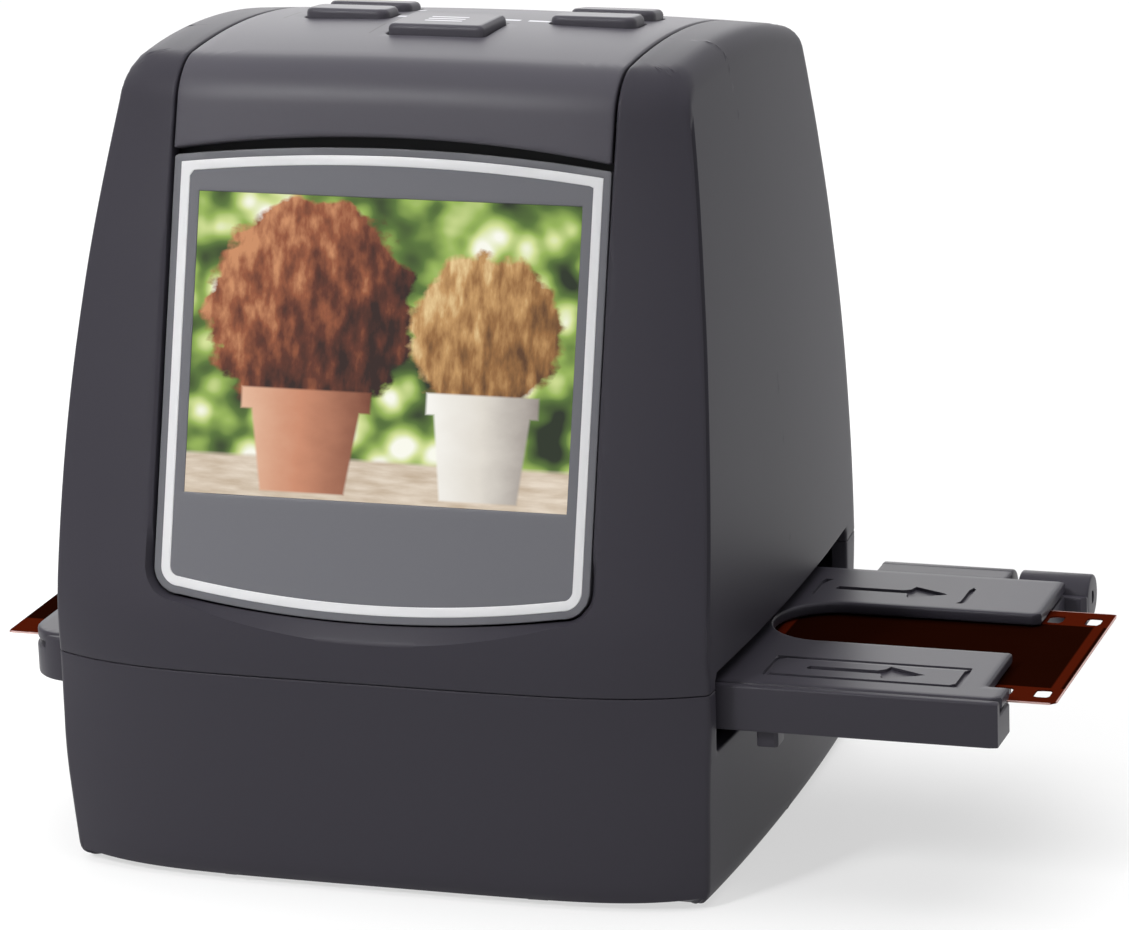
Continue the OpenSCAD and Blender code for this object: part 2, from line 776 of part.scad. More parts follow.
// Film holder: a tray and a lid on two pins along the rear edge.
holder_left = holder_right - holder_l;
slot_front_gap = 1.4;
holder_front = slot_front + slot_front_gap;
axis_y = holder_front + holder_d;
axis_z = holder_z + holder_t / 2;
tray_t = 3.9;
knuckle_r = holder_t / 2;
web_l = 0.3;
plate_rear = axis_y - knuckle_r - web_l;
rim_w = 1;
end_step = 2.6;
end_step_y = -24.2;
notch_y = -3.9;
left_notch_l = 14.4;
lid_z = holder_z + tray_t + film_t + lid_gap;
lid_t = holder_z + holder_t - lid_z;
knuckle_gap = 1;
barrel_over = 0.2;
barrel_end = holder_right + barrel_over;
pin_cover = 1;
left_barrel_l = 10;
right_barrel_l = 9.2;
left_joint = holder_left + left_barrel_l;
right_joint = barrel_end - right_barrel_l;
lid_knuckle_l = 17.2;
tray_knuckles = [[holder_left, left_joint], [right_joint, barrel_end]];
lid_knuckles = [[left_joint + knuckle_gap, left_joint + knuckle_gap + lid_knuckle_l],
    [right_joint - knuckle_gap - lid_knuckle_l, right_joint - knuckle_gap]];
pin_ends = [[holder_left + pin_cover, lid_knuckles[0][1]], [lid_knuckles[1][0], barrel_end - pin_cover]];
window_border = 0.3;
window = [frame_l + 2 * window_border, frame_w + 2 * window_border];
tray_notch_w = notch_w + 1.5;
pin_grip = 0.01;
label_depth = 0.4;
label_line = 0.5;
arrow_panels = [[43.5, 6.2, 63.4, 12.8], [46, -25.6, 70.4, -18.2]];
nub_size = [2.6, 3, 2.4];
nub_x = 47.4;
holder_corner_r = 6;

// What the rounded front left corner of the holder takes off a plate whose front edge is given.
module left_corner(front, r) {
    translate([holder_left, front, holder_z]) difference() {
        translate([-tiny, -tiny, -tiny]) cube([r + tiny, r + tiny, holder_t + 2 * tiny]);
        translate([r, r, -holder_t]) cylinder(r = r, h = 3 * holder_t);
    }
}

// Plan outline of the tray or lid between two y values, with its finger notches and window.
module holder_plate(front, rear, z, t, notch) {
    difference() {
        union() {
            translate([holder_left, front, z]) cube([holder_l - end_step, rear - front, t]);
            translate([holder_left, front, z]) cube([holder_l, end_step_y - front, t]);
        }
        block([0, film_y, z - t], [window[0], window[1], 3 * t]);
        translate([holder_right - notch_l + notch / 2, notch_y, z - t]) {
            cylinder(r = notch / 2, h = 3 * t);
            translate([0, -notch / 2, 0]) cube([notch_l, notch, 3 * t]);
        }
        translate([holder_left + left_notch_l - notch / 2, notch_y, z - t]) {
            cylinder(r = notch / 2, h = 3 * t);
            translate([-notch_l, -notch / 2, 0]) cube([notch_l, notch, 3 * t]);
        }
    }
}

// Hinge knuckle with a web that joins it to its plate.
module knuckle(span, web_z, web_t) {
    w = span[1] - span[0];
    translate([span[0], axis_y, axis_z]) rotate([0, 90, 0]) cylinder(r = knuckle_r, h = w);
    translate([span[0], plate_rear - tiny, web_z]) cube([w, axis_y - plate_rear + tiny, web_t]);
}

module pin_hole(r) {
    translate([-far, axis_y, axis_z]) rotate([0, 90, 0]) cylinder(r = r, h = 2 * far);
}

module holder_tray() {
    color("#4a4950") difference() {
        union() {
            holder_plate(holder_front, plate_rear, holder_z, tray_t, tray_notch_w);
            translate([holder_left, holder_front, holder_z]) cube([holder_l, rim_w, holder_t - fit_gap]);
            for (k = tray_knuckles) knuckle(k, holder_z, tray_t);
            block([nub_x, holder_front + nub_size[1], holder_z - nub_size[2]], nub_size + [0, 0, tiny]);
        }
        left_corner(holder_front, holder_corner_r);
        pin_hole(pin_r + pin_grip);
    }
}

module holder_lid() {
    color("#57565d") difference() {
        union() {
            holder_plate(holder_front + rim_w + lid_gap, plate_rear, lid_z, lid_t, notch_w);
            for (k = lid_knuckles) knuckle(k, lid_z, lid_t);
        }
        left_corner(holder_front + rim_w + lid_gap, holder_corner_r - rim_w - lid_gap);
        pin_hole(pin_r + pin_gap);
        for (a = arrow_panels) translate([a[0], a[1], holder_z + holder_t - label_depth]) difference() {
            cube([a[2] - a[0], a[3] - a[1], lid_t]);
            translate([label_line, label_line, -lid_t])
                cube([a[2] - a[0] - 2 * label_line, a[3] - a[1] - 2 * label_line, 3 * lid_t]);
        }
    }
}

module hinge_pin(span) {
    color("#a9aaad") translate([span[0], axis_y, axis_z]) rotate([0, 90, 0])
        cylinder(r = pin_r, h = span[1] - span[0]);
}

// Film strip with its two rows of perforations.
perf_pitch = 4.75;
perf_size = [1.98, 2.8];
perf_edge = 2.01;
perf_end = 2.3;
module film_strip() {
    n = floor((film_l - 2 * perf_end) / perf_pitch);
    x0 = film_right - perf_end - n * perf_pitch;
    color("#3a1206") difference() {
        translate([film_right - film_l, film_y - film_w / 2, holder_z + tray_t]) cube([film_l, film_w, film_t]);
        for (k = [0:n], s = [-1, 1]) block([x0 + k * perf_pitch,
            film_y + s * (film_w / 2 - perf_edge - perf_size[1] / 2), holder_z + tray_t - film_t],
            [perf_size[0], perf_size[1], 3 * film_t]);
    }
}

upper_shell();
lower_shell();
control_panel();
display_plate();
trim_line();
display_glass();
display_module();
display_bracket();
button(0);
button(1);
button(2);
button(3);
button(4);
key_board();
key_switches();
foot(0);
foot(1);
foot(2);
foot(3);
screws();
film_gate();
lower_path_plate();
diffuser();
light_box();
led_board();
leds();
optics_tower();
lens_barrel();
lens(barrel_z[0] + lens_t);  // lens_lower
lens(barrel_z[1] - 2 * lens_t);  // lens_upper
sensor_board();
sensor_chip();
main_board();
processor_chip();
memory_chip();
capacitors();
card_socket();
usb_socket();
display_ribbon();
sensor_ribbon();
key_ribbon();
hold_down_springs();
holder_tray();
holder_lid();
hinge_pin(pin_ends[0]);  // hinge_pin_left
hinge_pin(pin_ends[1]);  // hinge_pin_right
film_strip();
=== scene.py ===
"""Film negative scanner: the finished surfaces, finishes, stage and camera around the solid parts."""

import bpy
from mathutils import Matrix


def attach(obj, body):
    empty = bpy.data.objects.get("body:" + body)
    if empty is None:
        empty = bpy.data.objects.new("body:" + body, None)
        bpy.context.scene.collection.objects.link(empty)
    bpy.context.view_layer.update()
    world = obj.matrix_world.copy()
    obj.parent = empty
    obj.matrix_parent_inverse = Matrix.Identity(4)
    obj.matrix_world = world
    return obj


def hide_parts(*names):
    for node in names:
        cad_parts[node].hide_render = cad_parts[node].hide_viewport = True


bl_info = {
    "name": "Film negative scanner",
    "version": (1, 0, 0),
    "blender": (4, 5, 0),
    "location": "3D View > Sidebar > Scanner",
    "description": "Builds the outer surfaces and finishes of a desktop film negative scanner",
    "category": "Object",
}

from functools import lru_cache

import bpy
import numpy as np
from bpy.props import FloatProperty, FloatVectorProperty, PointerProperty
from mathutils import Matrix

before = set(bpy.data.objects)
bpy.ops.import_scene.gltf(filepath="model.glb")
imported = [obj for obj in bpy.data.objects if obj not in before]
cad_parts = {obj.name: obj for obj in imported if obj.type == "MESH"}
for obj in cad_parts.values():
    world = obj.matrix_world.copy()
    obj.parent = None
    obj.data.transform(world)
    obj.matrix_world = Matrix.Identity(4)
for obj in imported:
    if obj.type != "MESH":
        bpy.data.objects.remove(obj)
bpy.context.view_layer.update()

MM = 0.001


# ---------------------------------------------------------------- form of the housing, millimetres

SEAM_Z, SEAM_GAP = 27.0, 0.1
HALF_W = 42.9
HALF_D, BASE_REAR = 38.6, 35.2
LOW_FRONT, LOW_LEAN = -37.5, np.radians(2.5)
LEAN = np.radians(16)
SIDE_R, SIDE_BOW_R, SIDE_Y = 370.0, 532.0, -2.0
SWEEP_LEAST, SWEEP_LOW, SWEEP_BASE, SWEEP_BROW, SWEEP_POWER = 2.95, 4.0, 2.6, 1.0, 5
CROWN_Y, CROWN_R, CROWN_BOW_R = -3.0, 140.0, 760.0
REAR_EDGE_R, TOP_EDGE_R, BASE_EDGE_R, CHIN_EDGE = 4.4, 2.4, 1.7, 1.6
CREASE_R_LOW, CREASE_R_MORE = 0.5, 3.5
WALL = 2.0
PLATE_RECESS, PLATE_HALF_W, PLATE_CORNER_R, PLATE_GAP = 1.3, 27.9, 3.4, 0.35
PLATE_BOW_LOW, PLATE_BOW_HIGH, PLATE_T = 2.0, 1.7, 1.5
PICTURE_W, PICTURE_H = 48.96, 36.72
PLATE_TOP, PLATE_BOTTOM = PICTURE_H / 2 + 6, -PICTURE_H / 2 - 14.5
PICTURE_Z = SEAM_Z + 7.3 - PLATE_BOTTOM * np.cos(LEAN)
BODY_H = PICTURE_Z + PLATE_TOP * np.cos(LEAN) + 10.6
FACE_Y = -29.3
PICTURE_Y = FACE_Y + PLATE_RECESS / np.cos(LEAN)
PANEL_HALF_W, PANEL_BACK, PANEL_GAP = 28.1, 27.0, 0.15
ARCH_R, ARCH_TOP = 179.0, PLATE_TOP + 1.2
SLOT, SLOT_R = (-31.6, 29.6, 19.2, 28.9), 0.5
CARD_PORT, USB_PORT = (-10, 36.3, 12.9, 1.6, 0.5), (19, 36.9, 4.2, 2.2, 0.9)
FEET, FOOT_HOLE_R = ((-30, -28), (30, -28), (-30, 26), (30, 26)), 4.1
SCREWS, SCREW_HOLE_R = ((-20, -34.3), (20, -34.3), (-28, 32.2), (28, 32.2)), 2.05
GROOVE_AT, GROOVE_HALF_W, GROOVE_DEPTH = 0.35, 0.35, 0.42
GROOVE_LINES = (-0.7, -0.5, -0.2, 0.0, 0.25, 0.5)
BEVEL_W, BEVEL_DEPTH, CRESCENT_DROP, CRESCENT_DEPTH = 0.9, 0.3, 1.7, 1.0
TRIM_INSET, TRIM_W = 0.95, 1.2
SEAM_R, OPENING_R, SLOT_EDGE_R, PORT_R, HOLE_R = 0.15, 0.35, 0.3, 0.25, 0.2
ELSEWHERE = 9.0


def rmax(a, b, r):
    """Larger of two distances, with a round of radius r where they cross at a right angle."""
    return np.minimum(-r, np.maximum(a, b)) + np.hypot(np.maximum(r + a, 0), np.maximum(r + b, 0))


def smax(a, b, k):
    """Larger of two distances, eased by a parabola where they differ by less than k."""
    return np.maximum(a, b) + np.maximum(k - np.abs(a - b), 0) ** 2 / (4 * k)


def ease(t):
    """Smooth step from 0 to 1."""
    t = np.clip(t, 0, 1)
    return t * t * (3 - 2 * t)


def half_width(z):
    """Half width of the housing: a long arc that is widest at the parting line."""
    return HALF_W - SIDE_R + np.sqrt(SIDE_R ** 2 - (z - SEAM_Z) ** 2)


def sweep(z):
    """How far the front is swept back at full width: most near the parting line, more at the brow."""
    return (SWEEP_LEAST + SWEEP_LOW * ease((64 - z) / 64) + SWEEP_BROW * ease((z - 72) / 24)
            - SWEEP_BASE * ease((SEAM_Z + 2 - z) / 18))


def front_and_side(p):
    """Distances outside the front, swept by a fifth power of x, and outside the bowed sides."""
    x, y, z = np.abs(p[:, 0]), p[:, 1], p[:, 2]
    w = half_width(z)
    sag = sweep(z) * (x / w) ** SWEEP_POWER
    lean = (FACE_Y + (z - PICTURE_Z) * np.tan(LEAN) + sag - y) * np.cos(LEAN)
    low = (LOW_FRONT - z * np.tan(LOW_LEAN) + sag - y) * np.cos(LOW_LEAN)
    return smax(lean, low, CHIN_EDGE), x - w + (y - SIDE_Y) ** 2 / (2 * SIDE_BOW_R)


def form(p):
    """Distance outside the housing: front, sides, rear, crown and base, with their edges rounded."""
    x, y, z = p.T
    front, side = front_and_side(p)
    rear = y - np.minimum(HALF_D, BASE_REAR + z * (HALF_D - BASE_REAR) / SEAM_Z)
    crown = np.hypot(y - CROWN_Y, z - BODY_H + x ** 2 / (2 * CROWN_BOW_R) + CROWN_R) - CROWN_R
    shell = rmax(rmax(side, rear, REAR_EDGE_R), crown, TOP_EDGE_R)
    shell = rmax(front, shell, CREASE_R_LOW + CREASE_R_MORE * ease((crown - side + 4) / 4.5))
    return rmax(shell, -z, BASE_EDGE_R)


def gradient(p, field, h=0.02):
    """Unit normals of a field, from differences over a small step along each axis."""
    g = np.stack([field(p + h * e) - field(p - h * e) for e in np.eye(3)], 1)
    return g / np.maximum(np.linalg.norm(g, axis=1, keepdims=True), 1e-9)


def settle(v):
    """Moves points that lie close to the housing onto it."""
    for _ in range(3):
        v = v - gradient(v, form) * form(v)[:, None]
    return v


def onto_form(inner, outer):
    """Where the line from an inner point through an outer one leaves the housing, by halving."""
    d = (outer - inner) * 1.8
    lo, hi = np.zeros(len(d)), np.ones(len(d))
    for _ in range(34):
        mid = (lo + hi) / 2
        inside = form(inner + d * mid[:, None]) < 0
        lo, hi = np.where(inside, mid, lo), np.where(inside, hi, mid)
    return inner + d * ((lo + hi) / 2)[:, None]


def triangles(*rows):
    """Faces, from rows of three arrays with the numbers of their corners."""
    return np.concatenate([np.stack(row, 1) for row in rows])


def plan_ring(w, front, rear, step):
    """Points round a rectangle in plan, closer together towards its two front corners."""
    near = np.array([0, 0.25, 0.5, 0.75, 1.05, 1.4, 1.8, 2.3, 2.9, 3.6])
    across = np.concatenate([near, np.linspace(4.4, w, int((w - 4.4) / step) + 1)])
    back = np.concatenate([near[1:], np.linspace(4.4, rear - front, int((rear - front) / step))])
    half = np.concatenate([
        np.stack([w - across[::-1], np.full(len(across), front)], 1),
        np.stack([np.full(len(back), w), front + back], 1),
        np.stack([np.linspace(w, 0, int(w / step) + 1)[1:], np.full(int(w / step), rear)], 1)])
    other = half[1:-1][::-1] * [-1, 1]
    return np.concatenate([half, other])


@lru_cache(maxsize=1)
def housing(step=1.25):
    """Closed grid over the housing: rings of columns, row by row from the base up to the crown.
    Each point lies on the line from an inner ring out to a ring on a box round the housing."""
    ring = plan_ring(40.0, -34.0, 38.6, step)
    core = np.stack([np.clip(ring[:, 0], -24, 24), np.clip(ring[:, 1], -8, 24)], 1)
    mid = np.array([0.0, 8.0])
    low, high, top = 9.0, 84.0, BODY_H + 1
    shrink = np.linspace(0.04, 1, 22)
    rows = [(mid + s * (core - mid), low, mid + s * (ring - mid), -0.5) for s in shrink]
    rows += [(core, low, ring, z) for z in np.linspace(0, low, 9)[1:]]
    rows += [(core, z, ring, z) for z in np.linspace(low, high, int((high - low) / step))[1:]]
    rows += [(core, high, ring, z) for z in np.linspace(high, top, 12)[1:]]
    rows += [(mid + s * (core - mid), high, mid + s * (ring - mid), top) for s in shrink[::-1][1:]]
    column = lambda a, z: np.concatenate([a, np.full((len(a), 1), z)], 1)
    inner = np.concatenate([column(a, z) for a, z, _, _ in rows])
    outer = np.concatenate([column(b, z) for _, _, b, z in rows])
    middle, poles = np.array([[*mid, 50.0]] * 2), np.array([[*mid, -50.0], [*mid, 2 * BODY_H - 52]])
    v = np.concatenate([onto_form(inner, outer), onto_form(middle, poles)])
    n, m = len(ring), len(rows)
    i, j = np.meshgrid(np.arange(n), np.arange(m - 1))
    a, b = (j * n + i).ravel(), (j * n + (i + 1) % n).ravel()
    c, d = a + n, b + n
    k = np.arange(n)
    return v, triangles((a, b, d), (a, d, c), (np.full(n, n * m), (k + 1) % n, k),
                        (np.full(n, n * m + 1), (m - 1) * n + k, (m - 1) * n + (k + 1) % n))


# ---------------------------------------------------------------- cutting surfaces along lines


def edges_of(f):
    """The three edges of every triangle, in its order."""
    return np.concatenate([f[:, [0, 1]], f[:, [1, 2]], f[:, [2, 0]]])


def cut(v, f, field, drop=True):
    """Splits the triangles along the line field = 0, and drops those where the field is negative."""
    s = field(v)
    s = np.where(np.abs(s) < 0.004, 0.0, s)
    edges = np.sort(edges_of(f), 1)
    key, back = np.unique(edges[:, 0].astype(np.int64) * len(v) + edges[:, 1], return_inverse=True)
    a, b = key // len(v), key % len(v)
    crossing = s[a] * s[b] < 0
    lo, hi, positive = v[a[crossing]], v[b[crossing]], s[a[crossing]] > 0
    for _ in range(16):
        mid = (lo + hi) / 2
        same = ((field(mid) > 0) == positive)[:, None]
        lo, hi = np.where(same, mid, lo), np.where(same, hi, mid)
    new = np.full(len(key), -1)
    new[crossing] = len(v) + np.arange(crossing.sum())
    v, s = np.concatenate([v, (lo + hi) / 2]), np.concatenate([s, np.zeros(crossing.sum())])
    m = new[back.ravel()].reshape(3, -1).T
    count = (m >= 0).sum(1)
    whole = f[count == 0]

    def rolled(which, first):
        order = (first[:, None] + np.arange(3)) % 3
        return np.take_along_axis(f[which], order, 1).T, np.take_along_axis(m[which], order, 1).T

    one = count == 1
    g, e = rolled(one, (np.argmax(m[one] >= 0, 1) + 2) % 3)
    halves = triangles((g[0], g[1], e[1]), (g[0], e[1], g[2]))
    two = count == 2
    g, e = rolled(two, (np.argmax(m[two] < 0, 1) + 2) % 3)
    thirds = triangles((g[0], e[0], e[2]), (e[0], g[1], g[2]), (e[0], g[2], e[2]))
    f = np.concatenate([whole, halves, thirds])
    if drop:
        f = f[s[f].sum(1) >= 0]
        used, index = np.unique(f, return_inverse=True)
        v, f = v[used], index.reshape(f.shape)
    return v, f


ROUND = (1.0, 0.5, 0.134)


def trim(v, f, field, r=0.0):
    """Keeps where the field is positive; with a radius, adds rows of points for a rounded edge."""
    if r:
        for share in ROUND:
            v, f = cut(v, f, lambda p, s=share: field(p) - s * r, drop=False)
    return cut(v, f, field)


def fillet(s, r):
    """Depth of a quarter round of radius r at a distance s in from the edge."""
    return r - np.sqrt(np.maximum(r * r - (r - np.clip(s, 0, r)) ** 2, 0))


def border(f):
    """Edges that belong to one triangle only, in its order."""
    edges = edges_of(f)
    n = f.max() + 1
    key = np.sort(edges, 1) @ np.array([n, 1])
    _, first, count = np.unique(key, return_index=True, return_counts=True)
    return edges[first[count == 1]]


def thicken(v, f, back):
    """Closed solid between a sheet and its back points, with a wall along every border."""
    (a, b), n = border(f).T, len(v)
    wall = triangles((b, a, a + n), (b, a + n, b + n))
    return np.concatenate([v, back]), np.concatenate([f, f[:, ::-1] + n, wall])


def flat_grid(x0, x1, y0, y1, step):
    """Triangles over a rectangle of the plane, as points (x, y, 0)."""
    nx, ny = max(2, int((x1 - x0) / step) + 1), max(2, int((y1 - y0) / step) + 1)
    x, y = np.meshgrid(np.linspace(x0, x1, nx), np.linspace(y0, y1, ny))
    v = np.stack([x.ravel(), y.ravel(), np.zeros(x.size)], 1)
    i, j = np.meshgrid(np.arange(nx - 1), np.arange(ny - 1))
    a = (j * nx + i).ravel()
    return v, triangles((a, a + 1, a + nx + 1), (a, a + nx + 1, a + nx))


def slab(field, area, bottom, top, step=1.0, r=0.3, lines=(), relief=None, r_low=None):
    """Plate over the part of the plane where the field is positive, from bottom to top, with its
    edges rounded by r, or by r_low at the bottom. Lines are more fields to split along, and relief is
    a height added to the top."""
    v, f = flat_grid(*area, step)
    for line in lines:
        v, f = cut(v, f, line, drop=False)
    v, f = trim(v, f, field, r)
    s = field(v)
    up, down = v.copy(), v.copy()
    up[:, 2] = top - fillet(s, r) + (relief(v) if relief else 0)
    down[:, 2] = bottom + fillet(s, r if r_low is None else r_low)
    return thicken(up, f, down)


def rounded(qx, qy, r):
    """Distance inside a corner of radius r, from the distances past the ends of its two sides."""
    return r - np.hypot(np.maximum(qx, 0), np.maximum(qy, 0)) - np.minimum(np.maximum(qx, qy), 0)


def box_field(p, cx, cy, hx, hy, r=0.0, axes=(0, 1)):
    """Distance inside a rectangle with rounded corners: positive within it."""
    qx = np.abs(p[:, axes[0]] - cx) - hx + r
    qy = np.abs(p[:, axes[1]] - cy) - hy + r
    return rounded(qx, qy, r)


def rect_field(p, x0, y0, x1, y1, r=0.0, axes=(0, 1)):
    """Distance inside a rectangle given by its corners."""
    return box_field(p, (x0 + x1) / 2, (y0 + y1) / 2, (x1 - x0) / 2, (y1 - y0) / 2, r, axes)


def join(*parts):
    """One mesh out of several."""
    at = np.cumsum([0] + [len(v) for v, _ in parts])
    return np.concatenate([v for v, _ in parts]), np.concatenate([f + k for (_, f), k in zip(parts, at)])


SHARP = np.radians(32)


def add_piece(name, mesh, body, node, finish, uv=None):
    """Makes the piece in metres, smooth but for sharp edges, on its body and in place of a node."""
    v, f = mesh
    data = bpy.data.meshes.new(name)
    data.vertices.add(len(v))
    data.vertices.foreach_set("co", (v * MM).astype(np.float32).ravel())
    data.loops.add(f.size)
    data.loops.foreach_set("vertex_index", f.astype(np.int32).ravel())
    data.polygons.add(len(f))
    data.polygons.foreach_set("loop_start", np.arange(0, f.size, 3, dtype=np.int32))
    data.update(calc_edges=True)
    data.validate()
    data.shade_smooth()
    data.set_sharp_from_angle(angle=SHARP)
    if uv is not None:
        layer = data.uv_layers.new(name="picture")
        layer.data.foreach_set("uv", uv[f.ravel()].astype(np.float32).ravel())
    o = bpy.data.objects.new(name, data)
    bpy.context.scene.collection.objects.link(o)
    data.materials.append(finish)
    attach(o, body)
    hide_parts(node)


# ---------------------------------------------------------------- lines on the housing


def on_front(p):
    """Coordinates in the plane of the picture: x, height up the front, height out of the plate."""
    y, z = p[:, 1] - PICTURE_Y, p[:, 2] - PICTURE_Z
    return np.stack([p[:, 0], z * np.cos(LEAN) + y * np.sin(LEAN), z * np.sin(LEAN) - y * np.cos(LEAN)], 1)


def from_front(q):
    """The reverse of on_front."""
    return np.stack([
        q[:, 0], PICTURE_Y + q[:, 1] * np.sin(LEAN) - q[:, 2] * np.cos(LEAN),
        PICTURE_Z + q[:, 1] * np.cos(LEAN) + q[:, 2] * np.sin(LEAN)], 1)


def plate_field(q, d=0.0, open_top=False, drop=0.0):
    """Distance inside the display plate shrunk by d: bowed top and bottom, round lower corners. The
    middle of the bottom is lower by the drop."""
    w, r = PLATE_HALF_W - d, PLATE_CORNER_R - d
    x = np.abs(q[:, 0])
    rise = np.minimum(x / (PLATE_HALF_W - PLATE_CORNER_R), 1.0) ** 2
    floor = PLATE_BOTTOM + d - drop + (PLATE_BOW_LOW + drop) * rise
    s = rounded(x - w + r, floor + r - q[:, 1], r)
    if open_top:
        return s
    return np.minimum(s, PLATE_TOP - d - PLATE_BOW_HIGH * (x / PLATE_HALF_W) ** 2 - q[:, 1])


def opening_field(p):
    """Positive outside the opening of the upper shell, which holds the display and the panel."""
    inside = np.minimum(plate_field(on_front(p), -PLATE_GAP, open_top=True), PANEL_BACK - p[:, 1])
    return -np.minimum(inside, p[:, 2] - SEAM_Z)


def panel_field(p):
    """Positive inside the control panel: between its sides, in front of its back edge, above the arch."""
    q = on_front(p)
    arch = np.hypot(q[:, 0], q[:, 1] - ARCH_TOP + ARCH_R) - ARCH_R - 0.1
    sides = PANEL_HALF_W - PANEL_GAP - np.abs(p[:, 0])
    return np.minimum(np.minimum(sides, PANEL_BACK - PANEL_GAP - p[:, 1]), arch)


def slot_field(p):
    """Positive outside the slots for the film holder."""
    y0, y1, z0, z1 = SLOT
    return -rect_field(p, y0, z0, y1, z1, SLOT_R, axes=(1, 2))


def crease_field(p):
    """Distance across the crease between the front and each side: positive on the front."""
    front, side = front_and_side(p)
    return np.where(p[:, 1] < 0, (front - side) / 1.3, ELSEWHERE)


def crease_lines(places):
    """Fields of lines beside the crease, at distances across it."""
    return [lambda p, a=across: crease_field(p) - a for across in places]


def groove_depth(p):
    """Depth of the fine groove beside the crease, which fades out at both ends."""
    across = np.abs(crease_field(p) + GROOVE_AT)
    reach = ease((BODY_H - 6 - p[:, 2]) / 3) * ease((p[:, 2] - SEAM_Z - 2) / 12)
    return GROOVE_DEPTH * np.clip((GROOVE_HALF_W - across) / 0.2, 0, 1) * reach


def bevel_field(p):
    """Distance inside the bevel round the display, which widens to a crescent below it."""
    q = on_front(p)
    return np.minimum(plate_field(q, -BEVEL_W, open_top=True, drop=CRESCENT_DROP), q[:, 2] + 4)


def bevel_depth(p):
    """Depth of that bevel: it slopes down to the plate, most at the bottom, and fades at the top."""
    q = on_front(p)
    outer, inner = bevel_field(p), np.maximum(-plate_field(q, -PLATE_GAP, open_top=True), 0)
    share = np.clip(outer / np.maximum(outer + inner, 1e-6), 0, 1)
    sides, below = ease((16 - q[:, 1]) / 6), ease((-22.0 - q[:, 1]) / 4)
    return share * (BEVEL_DEPTH * sides + CRESCENT_DEPTH * below)


def ports_field(p):
    """Positive outside the two sockets' openings in the back."""
    inside = np.maximum(*(box_field(p, *port, axes=(0, 2)) for port in (CARD_PORT, USB_PORT)))
    return np.where(p[:, 1] > 20, -inside, ELSEWHERE)


def under_field(p):
    """Positive outside the round holes for the feet and the screws in the underside."""
    d = [np.hypot(p[:, 0] - x, p[:, 1] - y) - r
         for places, r in ((FEET, FOOT_HOLE_R), (SCREWS, SCREW_HOLE_R)) for x, y in places]
    return np.where(p[:, 2] < 2, np.min(d, 0), ELSEWHERE)


# ---------------------------------------------------------------- shells and panel

def skin(v, f, cuts, lines=(), relief=None):
    """Part of the housing's surface within the cuts, each a field and the radius of its edge, closed
    by a copy set back by the wall. Lines are fields to split along, and relief is more depth."""
    for field, r in cuts:
        v, f = trim(v, f, field, r)
    for line in lines:
        v, f = cut(v, f, line, drop=False)
    v = settle(v)
    n = gradient(v, form)
    depth = sum(fillet(field(v), r) for field, r in cuts) + (relief(v) if relief else 0)
    return thicken(v - n * depth[:, None], f, v - n * WALL)


def upper_mesh():
    """Upper shell: the housing above the parting line, open for display, panel, holder and sockets."""
    seam = lambda p: p[:, 2] - SEAM_Z - SEAM_GAP / 2

    def relief(v):
        return np.maximum(bevel_depth(v) - fillet(opening_field(v), OPENING_R), 0) + groove_depth(v)

    cuts = ((seam, SEAM_R), (opening_field, OPENING_R), (slot_field, SLOT_EDGE_R), (ports_field, PORT_R))
    lines = [bevel_field, lambda p: bevel_field(p) - 0.5, *crease_lines(GROOVE_LINES)]
    return skin(*housing(), cuts, lines, relief)


def lower_mesh():
    """Lower shell: the housing below the parting line, open for the holder, the feet and the screws."""
    seam = lambda p: SEAM_Z - SEAM_GAP / 2 - p[:, 2]
    cuts = ((seam, SEAM_R), (slot_field, SLOT_EDGE_R), (under_field, HOLE_R))
    return skin(*housing(), cuts, crease_lines((-0.4, 0.0, 0.4)))


SIDE_BUTTON = (5.5, 2.9, 1.5)
BUTTON_RISE, BUTTON_GAP = 1.1, 0.25
BUTTONS = {
    "button_menu": (0.4, -0.3, 6.2, 4.8, 0.7),
    "button_left_front": (-15, 7.8, *SIDE_BUTTON), "button_right_front": (17.3, 7.8, *SIDE_BUTTON),
    "button_left_rear": (-14.8, 15.6, *SIDE_BUTTON), "button_right_rear": (17.4, 15.6, *SIDE_BUTTON)}


LABELS = ((-7.8, 7.5, 1.0, 0.5), (6.4, 7.0, 1.1, 0.5), (10.0, 6.9, 1.4, 0.5), (-9.0, 15.0, 1.2, 0.5),
          (10.8, 14.6, 1.2, 0.5))
# Two thin dark slashes painted on the panel, left of the menu button and of the left front button: middles
# and half sizes in plan, in millimetres.
DARK_SLASHES = ((-8.28, -1.7, 0.12, 3.1), (-23.1, 7.8, 0.12, 3.2))
MENU_BARS = tuple((0.4, y, 2.4, 0.25) for y in (-1.7, -0.3, 1.1))


def holes_field(p):
    """Positive outside the button holes of the control panel."""
    places, gap = BUTTONS.values(), BUTTON_GAP
    return -np.max([box_field(p, x, y, hx + gap, hy + gap, r + 0.2) for x, y, hx, hy, r in places], 0)


def panel_mesh():
    """Control panel: the piece of the crown and brow between its borders, with five button holes."""
    v, f = housing()
    upper = v[f].mean(1)[:, 2] > 75
    return skin(v, f[upper], ((panel_field, OPENING_R), (holes_field, BUTTON_GAP)))


def crown_z(x, y):
    """Height of the crown at a place in plan."""
    return BODY_H - x ** 2 / (2 * CROWN_BOW_R) - CROWN_R + np.sqrt(CROWN_R ** 2 - (y - CROWN_Y) ** 2)


